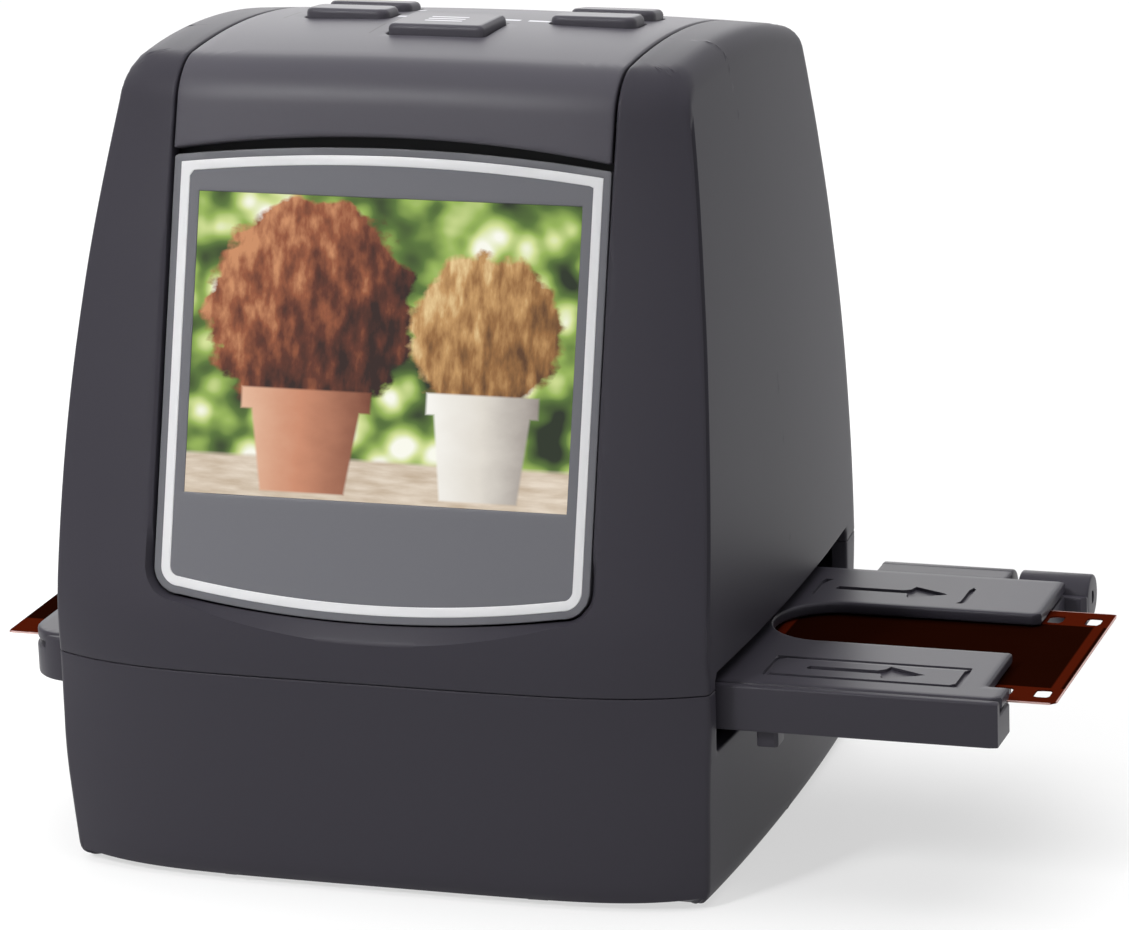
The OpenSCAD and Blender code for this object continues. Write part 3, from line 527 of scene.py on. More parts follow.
def button_mesh(x, y, hx, hy, r):
    """Push button: a rounded cap whose top slopes back with the crown."""
    slope = np.tan(np.arcsin((y - CROWN_Y) / CROWN_R) + np.radians(1.5))
    top = crown_z(x, y) + BUTTON_RISE
    area = (x - hx - 0.3, x + hx + 0.3, y - hy - 0.3, y + hy + 0.3)
    return slab(lambda p: box_field(p, x, y, hx, hy, r), area, top - 3.6, top, 0.35, 0.7,
                relief=lambda v: -(v[:, 1] - y) * slope, r_low=0.0)


# ---------------------------------------------------------------- display

def in_front(mesh):
    """Moves a mesh from the plane of the picture to its place."""
    return from_front(mesh[0]), mesh[1]


def display_meshes():
    """Plate, bright line, and glass with its picture coordinates, all in the plane of the picture."""
    area = (-28.5, 28.5, -34, 25)

    def edges(gap):
        """Lines along the sides, the top and the bottom of the picture, a gap inside it."""
        return (lambda p: np.abs(p[:, 0]) - PICTURE_W / 2 + gap,
                lambda p: np.abs(p[:, 1]) - PICTURE_H / 2 + gap)

    window = lambda p: -box_field(p, 0, 0, PICTURE_W / 2, PICTURE_H / 2)
    plate = slab(lambda p: np.minimum(plate_field(p), window(p)), area, -PLATE_T, 0, 1.0, 0.12, edges(0))
    line = slab(lambda p: np.minimum(plate_field(p, TRIM_INSET), -plate_field(p, TRIM_INSET + TRIM_W)),
                area, -0.4, 0.12, 0.8, 0.1)
    across, along = edges(0.02)
    glass = slab(lambda p: -np.maximum(across(p), along(p)), (-25, 25, -19, 19), -PLATE_T, -0.05, 2.0, 0.0,
                 (across, along))
    uv = glass[0][:, :2] / [PICTURE_W, PICTURE_H] + 0.5
    return in_front(plate), in_front(line), in_front(glass), uv


# ---------------------------------------------------------------- film holder and film

HOLDER_X, HOLDER_Y, HOLDER_Z = (-48.6, 76.2), (-30.2, 17.8), (21.5, 27.3)
TRAY_TOP, LID_LOW, RIM_TOP, RIM_W = 25.4, 25.8, 27.2, 1.0
LID_FRONT = -28.9
STEP_X, STEP_Y = 73.6, -24.2
HOLDER_CORNER = 6.0
FILM_WINDOW = (0, -6.6, 18.3, 12.3, 0.4)
NOTCH_Y, NOTCH_L, LEFT_NOTCH_L, TRAY_NOTCH, LID_NOTCH = -3.9, 34.5, 14.4, 16.5, 15.0
AXIS_Y, AXIS_Z, KNUCKLE_R, WEB_Y = 21.0, 24.4, 2.9, 17.2
TRAY_KNUCKLES, LID_KNUCKLES = ((HOLDER_X[0], -38.6), (67.2, 76.4)), ((-37.6, -20.4), (49.0, 66.2))


def holder_field(p, front, notch):
    """Distance inside the plan of the tray or lid: stepped right end, window and finger notches."""
    x, y = p[:, 0], p[:, 1]
    (left, right), rear = HOLDER_X, HOLDER_Y[1]
    body = np.minimum(x - left, STEP_X - x)
    nose = np.minimum(np.minimum(x - left, right - x), STEP_Y - y)
    plan = np.minimum(np.maximum(body, nose), np.minimum(y - front, rear - y))
    r = HOLDER_Y[0] + HOLDER_CORNER - front
    plan = np.minimum(plan, r - np.hypot(np.minimum(x - left - r, 0), np.minimum(y - front - r, 0)))
    r = notch / 2
    slot = lambda cx, way: r - np.hypot(np.minimum((x - cx) * way, 0), y - NOTCH_Y)
    notches = np.maximum(slot(right - NOTCH_L + r, 1), slot(left + LEFT_NOTCH_L - r, -1))
    return np.minimum(np.minimum(plan, -box_field(p, *FILM_WINDOW)), -notches)


def barrel(x0, x1, r=KNUCKLE_R, bore=0.85, bevel=0.3, sides=48):
    """Hinge knuckle: its outline carried round the hinge axis."""
    a = np.linspace(0, np.pi / 2, 4)
    out = np.concatenate([
        [[x0 + 0.02, bore]], np.stack([x0 + bevel - bevel * np.cos(a), r - bevel + bevel * np.sin(a)], 1),
        np.stack([x1 - bevel + bevel * np.sin(a), r - bevel + bevel * np.cos(a)], 1), [[x1 - 0.02, bore]]])
    t = np.linspace(0, 2 * np.pi, sides + 1)[:-1]
    x = np.repeat(out[:, :1], sides, 1)
    v = np.stack([x, AXIS_Y + out[:, 1:] * np.cos(t), AXIS_Z + out[:, 1:] * np.sin(t)], 2).reshape(-1, 3)
    i, j = np.meshgrid(np.arange(sides), np.arange(len(out)))
    k, kk = (i + 1) % sides, (j + 1) % len(out)
    a, b, c, d = ((row * sides + column).ravel() for row, column in ((j, i), (j, k), (kk, i), (kk, k)))
    return v, triangles((a, d, b), (a, c, d))


def block(x0, x1, y0, y1, z0, z1, r=0.25):
    """Rounded block."""
    return slab(lambda p: rect_field(p, x0, y0, x1, y1, r), (x0, x1, y0, y1), z0, z1,
                min(1.5, (x1 - x0) / 6, (y1 - y0) / 6), r)


def knuckles(spans, low, top):
    """Barrels over the spans, each with a web to the plate; the webs stay a hair inside the plate."""
    hair = 0.05
    webs = [block(a + hair, b - hair, WEB_Y, AXIS_Y, low + hair, top - hair) for a, b in spans]
    return [barrel(a, b) for a, b in spans] + webs


def tray_mesh():
    """Tray: plate, front rim, two end barrels with their webs, and the nub under the front bar."""
    step = lambda p: HOLDER_Y[0] + RIM_W - p[:, 1]
    slope = 0.06
    rim = lambda v: (RIM_TOP - TRAY_TOP) * np.clip(step(v) / slope, 0, 1)
    plate = slab(lambda p: holder_field(p, HOLDER_Y[0], TRAY_NOTCH), HOLDER_X + HOLDER_Y, HOLDER_Z[0],
                 TRAY_TOP, 1.2, 0.3, [step, lambda p: step(p) - slope], rim)
    nub = block(46.1, 48.7, -28.7, -25.7, 19.1, 22)
    return join(plate, *knuckles(TRAY_KNUCKLES, HOLDER_Z[0], TRAY_TOP), nub)


ARROWS = ((43.5, 6.2, 63.4, 12.8), (46, -25.6, 70.4, -18.2))


def arrow_field(p):
    """Positive inside the arrow of each recess: a shaft that ends in a triangular head."""
    out = []
    for x0, y0, x1, y1 in ARROWS:
        x, y = p[:, 0] - (x0 + x1) / 2, np.abs(p[:, 1] - (y0 + y1) / 2)
        shaft = np.minimum(np.minimum(x + 7.5, 2.6 - x), 0.6 - y)
        head = np.minimum(x - 2.0, (7.2 - x) * 0.42 - y * 0.9)
        out.append(np.maximum(shaft, head))
    return np.max(out, 0)


def frame_field(p):
    """Positive inside the two engraved outlines of the lid."""
    inside = np.max([rect_field(p, *corners, 0.3) for corners in ARROWS], 0)
    return np.minimum(inside, 0.75 - inside)


def lid_mesh():
    """Lid: plate with window, notch and two engraved arrows in outlines, and its hinge knuckles."""
    area = (*HOLDER_X, -29.1, HOLDER_Y[1])
    engraved, slope = 0.38, 0.08
    relief = lambda v: -engraved * np.clip(np.maximum(frame_field(v), arrow_field(v)) / slope, 0, 1)
    lines = [frame_field, lambda p: frame_field(p) - slope, arrow_field, lambda p: arrow_field(p) - slope]
    plate = slab(lambda p: holder_field(p, LID_FRONT, LID_NOTCH), area, LID_LOW, HOLDER_Z[1], 1.2, 0.35,
                 lines, relief)
    return join(plate, *knuckles(LID_KNUCKLES, LID_LOW, HOLDER_Z[1]))


FILM, FILM_T = (-53.2, 81.8, -24.1, 10.9, 25.4), 0.2
PERF_PITCH, PERF_HALF, PERF_EDGE, PERF_END = 4.75, (0.99, 1.4), 2.01, 2.3


def film_mesh():
    """Film strip: a thin flat sheet with a row of round-cornered perforations along each edge."""
    x0, x1, y0, y1, z = FILM
    n = int((x1 - x0 - 2 * PERF_END) / PERF_PITCH)
    start = x1 - PERF_END - n * PERF_PITCH

    def field(p):
        k = np.clip(np.round((p[:, 0] - start) / PERF_PITCH), 0, n)
        dx = np.abs(p[:, 0] - start - k * PERF_PITCH)
        dy = np.abs(np.abs(p[:, 1] - (y0 + y1) / 2) - (y1 - y0) / 2 + PERF_EDGE + PERF_HALF[1])
        holes = box_field(np.stack([dx, dy], 1), 0, 0, *PERF_HALF, 0.45)
        return np.minimum(rect_field(p, x0, y0, x1, y1, 0.4), -holes)

    return slab(field, (x0, x1, y0, y1), z, z + FILM_T, 0.8, 0.0)


# ---------------------------------------------------------------- finishes

def nodes_of(name):
    """New material with an empty node tree but for its output."""
    m = bpy.data.materials.new(name)
    m.use_nodes = True
    m.node_tree.nodes.clear()
    return m, m.node_tree


def feed(tree, socket, value):
    """Joins an output to an input, or sets the input to a number, a vector or a colour."""
    if isinstance(value, bpy.types.NodeSocket):
        tree.links.new(value, socket)
    else:
        socket.default_value = (*value, 1) if socket.type == "RGBA" else value


def add(tree, kind, *slots, **values):
    """Adds a node. Values go to its inputs, by place or by name, or are the node's own settings."""
    n = tree.nodes.new(kind)
    for key, value in [*enumerate(slots), *values.items()]:
        if isinstance(key, int) or key in n.inputs:
            feed(tree, n.inputs[key], value)
        else:
            setattr(n, key, value)
    return n


def math_node(tree, op, *terms):
    """Math node on sockets or numbers; returns its output."""
    return add(tree, "ShaderNodeMath", *terms, operation=op).outputs[0]


def clamp(tree, value):
    """Keeps a value within 0 and 1."""
    return add(tree, "ShaderNodeClamp", value).outputs[0]


def over(tree, under, colour, mask):
    """Lays a colour over another where the mask is 1."""
    n = add(tree, "ShaderNodeMix", data_type="RGBA", Factor=mask)
    feed(tree, n.inputs[6], under)
    feed(tree, n.inputs[7], colour)
    return n.outputs[2]


def ramp_node(tree, fac, stops):
    """Colour ramp through (place, colour) stops; returns its colour."""
    n = add(tree, "ShaderNodeValToRGB", fac)
    e = n.color_ramp.elements
    for _ in range(len(stops) - 2):
        e.new(0.5)
    for item, (place, colour) in zip(e, stops):
        item.position, item.color = place, (*linear(*colour), 1)
    return n.outputs[0]


def object_place(tree):
    """Coordinates of the object, together and as x, y and z."""
    where = add(tree, "ShaderNodeTexCoord").outputs["Object"]
    return where, add(tree, "ShaderNodeSeparateXYZ", where).outputs


def principled(material, tree, inputs):
    """Ends the material in a Principled shader with these inputs."""
    shader = add(tree, "ShaderNodeBsdfPrincipled", **inputs)
    add(tree, "ShaderNodeOutputMaterial", shader.outputs[0])
    return material


def grain_group():
    """Moulded grain: fine and broad noise that vary colour and roughness, and a bump from the fine one."""
    g = bpy.data.node_groups.new("moulded_grain", "ShaderNodeTree")
    colour, number, vector = ("NodeSocket" + kind for kind in ("Color", "Float", "Vector"))
    for way, sockets in (("INPUT", (("Colour", colour), ("Variation", number), ("Roughness", number),
                                    ("Grain", number), ("Depth", number))),
                         ("OUTPUT", (("Colour", colour), ("Roughness", number), ("Normal", vector)))):
        for name, kind in sockets:
            g.interface.new_socket(name=name, in_out=way, socket_type=kind)
    op = lambda *a: math_node(g, *a)
    given = g.nodes.new("NodeGroupInput").outputs
    where = add(g, "ShaderNodeTexCoord").outputs["Object"]
    fine = add(g, "ShaderNodeTexNoise", where, Scale=given["Grain"], Detail=2.0, Roughness=0.6).outputs["Fac"]
    broad = add(g, "ShaderNodeTexNoise", where, Scale=45.0, Detail=3.0).outputs["Fac"]
    mixed = op("MULTIPLY_ADD", fine, 0.6, op("MULTIPLY", broad, 0.4))
    amount = op("MULTIPLY_ADD", op("SUBTRACT", mixed, 0.5), given["Variation"], 1.0)
    tint = add(g, "ShaderNodeVectorMath", given["Colour"], operation="SCALE", Scale=amount)
    bump = add(g, "ShaderNodeBump", Distance=0.00004, Height=fine, Strength=given["Depth"])
    add(g, "NodeGroupOutput", tint.outputs[0], op("MULTIPLY", given["Roughness"], amount), bump.outputs[0])
    return g


def bars_mask(tree, bars):
    """Mask of printed bars, each given by its middle and half sizes in plan, in millimetres."""
    place = object_place(tree)[1]
    op = lambda *a: math_node(tree, *a)
    best = None
    for cx, cy, hx, hy in bars:
        near = [op("SUBTRACT", h * MM, op("ABSOLUTE", op("SUBTRACT", place[k], c * MM)))
                for k, (c, h) in enumerate(((cx, hx), (cy, hy)))]
        bar = op("MINIMUM", *near)
        best = bar if best is None else op("MAXIMUM", best, bar)
    return clamp(tree, op("MULTIPLY_ADD", best, 12000, 0.5))


def plastic(name, colour, roughness=0.45, depth=0.12, variation=0.1, grain=5000.0, specular=0.5, prints=()):
    """Moulded plastic with the grain group. Prints are colours with the bars printed in them."""
    m, t = nodes_of(name)
    for ink, bars in prints:
        colour = over(t, colour, ink, bars_mask(t, bars))
    group = bpy.data.node_groups.get("moulded_grain") or grain_group()
    g = add(t, "ShaderNodeGroup", node_tree=group, Colour=colour, Roughness=roughness, Depth=depth,
            Variation=variation, Grain=grain).outputs
    return principled(m, t, {"Base Color": g["Colour"], "Roughness": g["Roughness"], "Normal": g["Normal"],
                             "Specular IOR Level": specular})


def metal(name, colour, roughness):
    """Metal with fine drawn streaks in its roughness."""
    m, t = nodes_of(name)
    stretch = add(t, "ShaderNodeMapping", object_place(t)[0], Scale=(40, 3000, 3000))
    streaks = add(t, "ShaderNodeTexNoise", stretch.outputs[0], Scale=1.0, Detail=3.0).outputs["Fac"]
    rough = add(t, "ShaderNodeMapRange", streaks, **{"To Min": roughness * 0.8, "To Max": roughness * 1.25})
    return principled(m, t, {"Metallic": 1.0, "Base Color": colour, "Roughness": rough.outputs[0]})


def linear(*rgb):
    """Display colour in 0..255 to linear light."""
    c = np.array(rgb) / 255
    return tuple(float(x) for x in np.where(c <= 0.04045, c / 12.92, ((c + 0.055) / 1.055) ** 2.4))


PICTURE_ASPECT = 1.33


def picture_finish():
    """Lit picture: two planted garden pots on a pale terrace before blurred foliage."""
    m, t = nodes_of("lit_picture")
    op = lambda *a: math_node(t, *a)
    uv = add(t, "ShaderNodeUVMap", uv_map="picture").outputs[0]
    u, v = add(t, "ShaderNodeSeparateXYZ", uv).outputs[:2]

    def noise(scale, detail=3.0, squeeze=(1, 1, 1)):
        fit = add(t, "ShaderNodeMapping", uv, Scale=squeeze).outputs[0]
        return add(t, "ShaderNodeTexNoise", fit, Scale=scale, Detail=detail).outputs["Fac"]

    def soft(value, width):
        """Mask that rises from 0 to 1 over the width round zero."""
        return clamp(t, op("MULTIPLY_ADD", value, 0.5 / width, 0.5))

    fit = add(t, "ShaderNodeMapping", uv, Scale=(PICTURE_ASPECT, 1, 1)).outputs[0]
    spots = add(t, "ShaderNodeTexVoronoi", fit, feature="SMOOTH_F1", Scale=8.5, Smoothness=0.5)
    leaf = op("ADD", op("MULTIPLY", spots.outputs["Distance"], 0.55), op("MULTIPLY", noise(3.5), 0.8))
    colour = ramp_node(t, leaf, [(0.46, (252, 252, 240)), (0.56, (214, 226, 152)), (0.65, (150, 180, 84)),
                                 (0.74, (84, 114, 46)), (0.86, (30, 42, 22))])
    ground = ramp_node(t, noise(9.0, 4.0, (1, 4, 1)), [(0.3, (196, 176, 152)), (0.7, (232, 218, 200))])
    horizon = op("MULTIPLY_ADD", noise(3.0), 0.03, 0.12)
    colour = over(t, colour, ground, soft(op("SUBTRACT", horizon, v), 0.008))

    def pot(cx, top, low, rim, shades):
        """Tapered pot with a rim, shaded round from the left; top and low are its half width and height."""
        nonlocal colour
        slope = (top[0] - low[0]) / (top[1] - low[1])
        x, under = op("ABSOLUTE", op("SUBTRACT", u, cx)), op("SUBTRACT", top[1], v)
        half = op("MULTIPLY_ADD", v, slope, low[0] - low[1] * slope)
        body = op("MINIMUM", op("SUBTRACT", half, x), op("MINIMUM", op("SUBTRACT", v, low[1]), under))
        edge = op("MINIMUM", op("SUBTRACT", top[0] + rim, x),
                  op("MINIMUM", op("SUBTRACT", v, top[1] - 0.07), under))
        side = op("MULTIPLY_ADD", op("SUBTRACT", u, cx), 0.5 / (top[0] + rim), 0.5)
        shade = op("MULTIPLY_ADD", noise(14.0, 4.0), 0.2, op("SUBTRACT", side, 0.1))
        colour = over(t, colour, ramp_node(t, shade, shades), soft(op("MAXIMUM", body, edge), 0.004))

    def crown(cx, cy, r, grain, squeeze, shades, raggedness=0.09):
        """Ragged ball of leaves."""
        nonlocal colour
        dx, dy = op("MULTIPLY", op("SUBTRACT", u, cx), PICTURE_ASPECT), op("SUBTRACT", v, cy)
        far = op("SQRT", op("ADD", op("MULTIPLY", dx, dx), op("MULTIPLY", dy, dy)))
        rough = op("SUBTRACT", noise(grain * 0.5, 4.0), 0.5)
        edge = op("MULTIPLY_ADD", rough, raggedness * 2, op("SUBTRACT", r, far))
        shade = op("MULTIPLY_ADD", op("SUBTRACT", dy, dx), 0.5, noise(grain, 5.0, squeeze))
        stops = list(zip((0.25, 0.45, 0.62, 0.8), shades))
        colour = over(t, colour, ramp_node(t, shade, stops), soft(edge, 0.012))

    crown(0.31, 0.62, 0.36, 26.0, (1, 0.35, 1), ((44, 20, 14), (96, 46, 28), (150, 84, 52), (206, 142, 98)))
    pot(0.31, (0.15, 0.36), (0.11, 0.02), 0.02,
        [(0.0, (232, 186, 156)), (0.45, (206, 140, 108)), (1.0, (120, 66, 46))])
    crown(0.77, 0.57, 0.26, 34.0, (1, 0.25, 1),
          ((92, 58, 28), (150, 104, 56), (196, 150, 94), (236, 206, 150)), 0.06)
    pot(0.77, (0.13, 0.37), (0.1, 0.02), 0.015,
        [(0.0, (250, 248, 242)), (0.5, (226, 220, 210)), (1.0, (150, 140, 134))])
    return principled(m, t, {"Roughness": 0.2, "Base Color": (0.01, 0.01, 0.01), "Specular IOR Level": 0.2,
                             "Emission Strength": 0.95, "Emission Color": colour})


FRAME_PITCH, FRAME_HALF, FRAME_START = 0.038, (0.0184, 0.012), -0.1094


def film_finish(base, frame_colour, edge):
    """Processed negative: clear brown borders, darker pictures between them, pale light in cut edges."""
    m, t = nodes_of("film_negative")
    op = lambda *a: math_node(t, *a)
    x1, y0, y1 = (k * MM for k in FILM[1:4])
    where, (x, y, _) = object_place(t)
    across = op("SUBTRACT", FRAME_HALF[1], op("ABSOLUTE", op("SUBTRACT", y, (y0 + y1) / 2)))
    turn = op("SUBTRACT", op("MODULO", op("SUBTRACT", x, FRAME_START), FRAME_PITCH), FRAME_PITCH / 2)
    along = op("SUBTRACT", FRAME_HALF[0], op("ABSOLUTE", turn))
    noise = add(t, "ShaderNodeTexNoise", where, Scale=60.0, Detail=4.0).outputs["Fac"]
    inner = over(t, [k * 0.8 for k in frame_colour], [k * 1.2 for k in frame_colour], noise)
    colour = over(t, base, inner, clamp(t, op("MULTIPLY_ADD", op("MINIMUM", across, along), 4000, 0.5)))
    rim = op("MINIMUM", op("SUBTRACT", y, y0), op("MINIMUM", op("SUBTRACT", y1, y), op("SUBTRACT", x1, x)))
    colour = over(t, colour, edge, clamp(t, op("MULTIPLY_ADD", rim, -8000, 1.4)))
    return principled(m, t, {"Roughness": 0.3, "Specular IOR Level": 0.0, "Base Color": colour})


WHITE = (1, 1, 1)


def seen_ray(tree):
    """1 for what the camera sees, directly, in gloss and through glass."""
    path = add(tree, "ShaderNodeLightPath").outputs
    direct = math_node(tree, "MAXIMUM", path["Is Camera Ray"], path["Is Glossy Ray"])
    return math_node(tree, "MAXIMUM", direct, path["Is Transmission Ray"])


# ---------------------------------------------------------------- settings


COLOUR = {"subtype": "COLOR", "min": 0, "max": 1}


class ScannerFinish(bpy.types.PropertyGroup):
    """Colours and gloss of the visible pieces."""

    shell: FloatVectorProperty(name="Shell", description="Colour of both shells",
                               default=linear(50, 48, 55), **COLOUR)
    panel: FloatVectorProperty(name="Control panel", description="Colour of the panel and the buttons",
                               default=linear(67, 65, 72), **COLOUR)
    plate: FloatVectorProperty(name="Display plate", description="Colour of the plate round the picture",
                               default=linear(100, 100, 105), **COLOUR)
    line: FloatVectorProperty(name="Bright line", description="Colour of the line inlaid round the plate",
                              default=linear(208, 208, 210), **COLOUR)
    film: FloatVectorProperty(name="Film", description="Colour of the clear borders of the film",
                              default=linear(70, 20, 7), **COLOUR)
    roughness: FloatProperty(name="Shell roughness", description="How dull the moulded plastic is",
                             default=0.46, min=0, max=1, subtype="FACTOR")


class ScannerStage(bpy.types.PropertyGroup):
    """Lamps, lens and place of the camera."""

    key: FloatProperty(name="Key lamp", description="Power of the narrow lamp at the left front",
                       default=0.33, min=0, unit="POWER")
    top: FloatProperty(name="Top lamp", description="Power of the lamp over the crown",
                       default=12.0, min=0, unit="POWER")
    rim: FloatProperty(name="Rim lamp", description="Power of the lamp behind the left shoulder",
                       default=2.0, min=0, unit="POWER")
    sky: FloatProperty(name="Surroundings", description="Strength of the plain light from all round",
                       default=0.32, min=0, max=2)
    lens: FloatProperty(name="Lens", description="Focal length of the camera in millimetres",
                        default=168.62, min=20)
    place: FloatVectorProperty(name="Camera", description="Place of the camera", subtype="TRANSLATION",
                               unit="LENGTH", default=(0.21459, -0.605354, 0.229998))


# ---------------------------------------------------------------- operators

class SCANNER_OT_shells(bpy.types.Operator):
    """Upper and lower shell, cut from one surface of the housing"""

    bl_idname = "scanner.shells"
    bl_label = "Shells"

    def execute(self, context):
        f = context.scene.scanner_finish
        satin = plastic("shell_satin", tuple(f.shell), f.roughness, specular=0.16)
        add_piece("upper_shell_skin", upper_mesh(), "housing", "upper_shell", satin)
        add_piece("lower_shell_skin", lower_mesh(), "housing", "lower_shell", satin)
        return {"FINISHED"}


class SCANNER_OT_panel(bpy.types.Operator):
    """Control panel and its five push buttons"""

    bl_idname = "scanner.panel"
    bl_label = "Control panel"

    def execute(self, context):
        f = context.scene.scanner_finish
        pale, dark = linear(186, 186, 192), linear(34, 33, 38)
        # The pale labels and the two thin dark slashes are laid over the panel colour.
        printed = plastic("panel_plastic", tuple(f.panel), f.roughness * 0.95, 0.08, specular=0.25,
                          prints=((pale, LABELS), (dark, DARK_SLASHES)))
        add_piece("control_panel_skin", panel_mesh(), "housing", "control_panel", printed)
        smooth = plastic("button_plastic", tuple(f.panel), f.roughness * 0.85, 0.05, specular=0.25,
                         prints=((pale, MENU_BARS),))
        for name, place in BUTTONS.items():
            body = name.replace("button_", "") + "_button"
            add_piece(name + "_cap", button_mesh(*place), body, name, smooth)
        return {"FINISHED"}


class SCANNER_OT_display(bpy.types.Operator):
    """Display plate, the bright line inlaid in it and the lit picture"""

    bl_idname = "scanner.display"
    bl_label = "Display"

    def execute(self, context):
        f = context.scene.scanner_finish
        plate, line, glass, uv = display_meshes()
        add_piece("display_plate_skin", plate, "housing", "display_plate",
                  plastic("plate_plastic", tuple(f.plate), 0.38, 0.03, 0.03, specular=0.2))
        add_piece("trim_line_skin", line, "housing", "trim_line",
                  plastic("trim_silver", tuple(f.line), 0.3, 0.02, 0.02))
        add_piece("display_picture", glass, "housing", "display_glass",
                  picture_finish(), uv=uv)
        return {"FINISHED"}


class SCANNER_OT_holder(bpy.types.Operator):
    """Film holder: tray and hinged lid"""

    bl_idname = "scanner.holder"
    bl_label = "Film holder"

    def execute(self, context):
        f = context.scene.scanner_finish
        tray = plastic("tray_plastic", tuple(k * 1.05 for k in f.shell), 0.42, 0.08, specular=0.2)
        lid = plastic("lid_plastic", tuple(k * 1.1 for k in f.shell), 0.38, 0.08, specular=0.17)
        add_piece("holder_tray_skin", tray_mesh(), "tray", "holder_tray", tray)
        add_piece("holder_lid_skin", lid_mesh(), "lid", "holder_lid", lid)
        return {"FINISHED"}


class SCANNER_OT_film(bpy.types.Operator):
    """Strip of negatives with its perforations"""

    bl_idname = "scanner.film"
    bl_label = "Film"

    def execute(self, context):
        f = context.scene.scanner_finish
        finish = film_finish(tuple(f.film), linear(26, 6, 2), linear(206, 172, 166))
        add_piece("film_strip_skin", film_mesh(), "film", "film_strip", finish)
        return {"FINISHED"}


INSIDE = {
    "inner_plastic": (["display_bracket", "film_gate", "lower_path_plate", "optics_tower", "lens_barrel"],
                      plastic, linear(44, 44, 47), 0.6, 0.2),
    "board_green": (["key_board", "led_board", "sensor_board", "main_board"],
                    plastic, linear(38, 92, 60), 0.35, 0.05, 0.3, 900.0),
    "chip_black": (["key_switches", "processor_chip", "memory_chip", "sensor_chip"],
                   plastic, linear(38, 38, 42), 0.5, 0.15),
    "capacitor_sleeve": (["capacitors"], plastic, linear(68, 80, 122), 0.3, 0.02),
    "white_plastic": (["diffuser", "light_box"], plastic, linear(238, 238, 232), 0.5, 0.05, 0.02),
    "led_phosphor": (["leds"], plastic, linear(244, 238, 190), 0.25, 0.02),
    "lens_glass": (["lens_lower", "lens_upper"], plastic, linear(150, 170, 190), 0.05, 0.0, 0.02),
    "ribbon_film": (["display_ribbon", "sensor_ribbon", "key_ribbon"],
                    plastic, linear(196, 134, 56), 0.3, 0.04),
    "module_metal": (["display_module", "card_socket", "usb_socket"], metal, (0.62, 0.63, 0.65), 0.35),
    "steel": (["screws", "hold_down_springs", "hinge_pin_left", "hinge_pin_right"],
              metal, (0.55, 0.56, 0.58), 0.28),
    "foot_rubber": (["foot_front_left", "foot_front_right", "foot_rear_left", "foot_rear_right"],
                    plastic, linear(30, 30, 32), 0.75, 0.35),
}


class SCANNER_OT_inside(bpy.types.Operator):
    """Finishes of the boards, optics, light box, screws and feet"""

    bl_idname = "scanner.inside"
    bl_label = "Inside and fasteners"

    def execute(self, context):
        for name, (pieces, make, *values) in INSIDE.items():
            finish = make(name, *values)
            for piece in pieces:
                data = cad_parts[piece].data
                data.materials.clear()
                data.materials.append(finish)
        return {"FINISHED"}


def put(name, data, x, y, z, place):
    """New object with these axes at a place."""
    o = bpy.data.objects.new(name, data)
    bpy.context.scene.collection.objects.link(o)
    turn = np.eye(4)
    turn[:3] = np.stack([x, y, z, place], 1)
    o.matrix_world = Matrix(turn.tolist())
    return o


def area_lamp(name, place, aim, size, power, spread=180.0):
    """Square lamp that looks from its place towards a point; a small spread narrows its beam."""
    data = bpy.data.lights.new(name, "AREA")
    data.shape, data.size, data.energy, data.spread = "SQUARE", size, power, np.radians(spread)
    z = np.subtract(place, aim) / np.linalg.norm(np.subtract(place, aim))
    x = np.cross([0, 0, 1], z) / np.linalg.norm(np.cross([0, 0, 1], z))
    return put(name, data, x, np.cross(z, x), z, place)


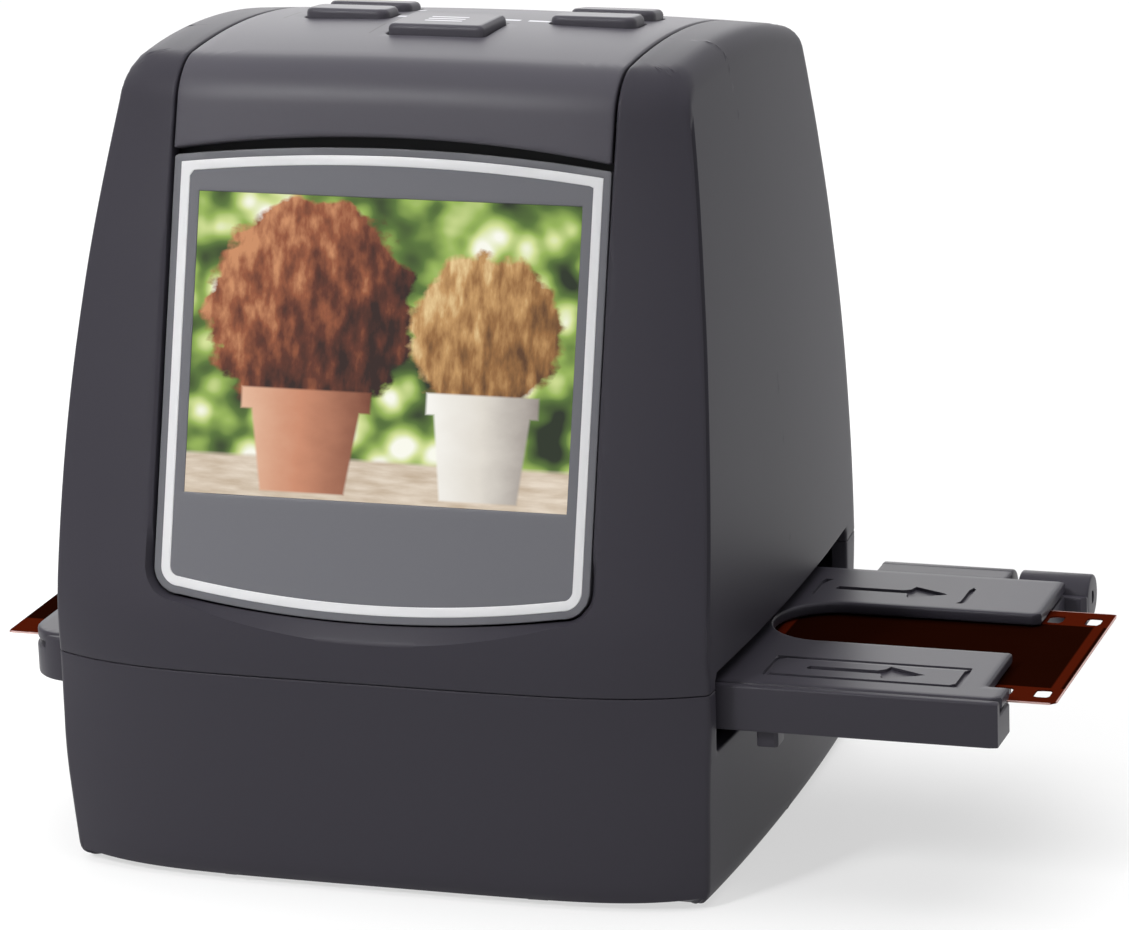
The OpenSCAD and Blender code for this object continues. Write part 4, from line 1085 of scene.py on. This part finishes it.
class SCANNER_OT_stage(bpy.types.Operator):
    """Floor, surroundings, lamps and camera"""

    bl_idname = "scanner.stage"
    bl_label = "Stage"

    def execute(self, context):
        s, scene = context.scene.scanner_stage, context.scene
        scene.view_settings.view_transform = "Standard"
        v, f = flat_grid(-3000, 3000, -3000, 3000, 3000)
        data = bpy.data.meshes.new("floor")
        data.from_pydata(((v + [0, 0, -0.5]) * MM).tolist(), [], f.tolist())
        floor = bpy.data.objects.new("floor", data)
        scene.collection.objects.link(floor)
        m, t = nodes_of("floor_white")
        seen = seen_ray(t)
        shader = add(t, "ShaderNodeBsdfDiffuse", over(t, (0.8, 0.8, 0.8), WHITE, seen))
        mix = add(t, "ShaderNodeMixShader", math_node(t, "MULTIPLY", seen, 0.6), shader.outputs[0],
                  add(t, "ShaderNodeEmission").outputs[0])
        add(t, "ShaderNodeOutputMaterial", mix.outputs[0])
        data.materials.append(m)
        scene.world = bpy.data.worlds.new("surroundings")
        scene.world.use_nodes = True
        t = scene.world.node_tree
        t.nodes.clear()
        back = add(t, "ShaderNodeBackground", over(t, (s.sky,) * 3, WHITE, seen_ray(t)))
        add(t, "ShaderNodeOutputWorld", back.outputs[0])
        area_lamp("key_lamp", (-0.45, -0.75, 0.75), (-0.14, -0.03, 0.085), 0.3, s.key, 24.0)
        area_lamp("top_lamp", (0.05, 0.2, 1.1), (0, 0, 0.05), 1.2, s.top).visible_glossy = False
        area_lamp("rim_lamp", (-0.42, 1.1, 0.42), (0, 0, 0.08), 0.6, s.rim)
        camera = bpy.data.cameras.new("camera")
        camera.sensor_fit, camera.sensor_width, camera.lens = "HORIZONTAL", 36.0, s.lens
        camera.shift_x, camera.shift_y = -0.0201, -0.0009
        camera.clip_start, camera.clip_end = 0.05, 20
        yaw, pitch, roll = 0.316243, 0.283264, -0.033775
        ahead = np.array([-np.sin(yaw) * np.cos(pitch), np.cos(yaw) * np.cos(pitch), -np.sin(pitch)])
        right = np.array([np.cos(yaw), np.sin(yaw), 0.0])
        up = np.cross(right, ahead)
        scene.camera = put("camera", camera, np.cos(roll) * right + np.sin(roll) * up,
                           np.cos(roll) * up - np.sin(roll) * right, -ahead, s.place)
        return {"FINISHED"}


class SCANNER_PT_panel(bpy.types.Panel):
    """Lists the pieces and their settings"""

    bl_label = "Film negative scanner"
    bl_idname = "SCANNER_PT_panel"
    bl_space_type = "VIEW_3D"
    bl_region_type = "UI"
    bl_category = "Scanner"

    def draw(self, context):
        for group in (context.scene.scanner_finish, context.scene.scanner_stage):
            box = self.layout.box()
            for name in group.bl_rna.properties.keys():
                if name not in ("rna_type", "name"):
                    box.prop(group, name)
        for op in OPERATORS:
            self.layout.operator(op.bl_idname)


OPERATORS = (SCANNER_OT_stage, SCANNER_OT_shells, SCANNER_OT_panel, SCANNER_OT_display, SCANNER_OT_holder,
             SCANNER_OT_film, SCANNER_OT_inside)
CLASSES = (ScannerFinish, ScannerStage, *OPERATORS, SCANNER_PT_panel)


def register():
    """Registers the classes and the settings kept in the scene."""
    for c in CLASSES:
        bpy.utils.register_class(c)
    bpy.types.Scene.scanner_finish = PointerProperty(type=ScannerFinish)
    bpy.types.Scene.scanner_stage = PointerProperty(type=ScannerStage)


def unregister():
    """Removes what register made."""
    del bpy.types.Scene.scanner_finish, bpy.types.Scene.scanner_stage
    for c in reversed(CLASSES):
        bpy.utils.unregister_class(c)


def main():
    """Builds every piece in order."""
    register()
    bpy.ops.scanner.stage()
    bpy.ops.scanner.shells()
    bpy.ops.scanner.panel()
    bpy.ops.scanner.display()
    bpy.ops.scanner.holder()
    bpy.ops.scanner.film()
    bpy.ops.scanner.inside()


if __name__ == "__main__":
    main()
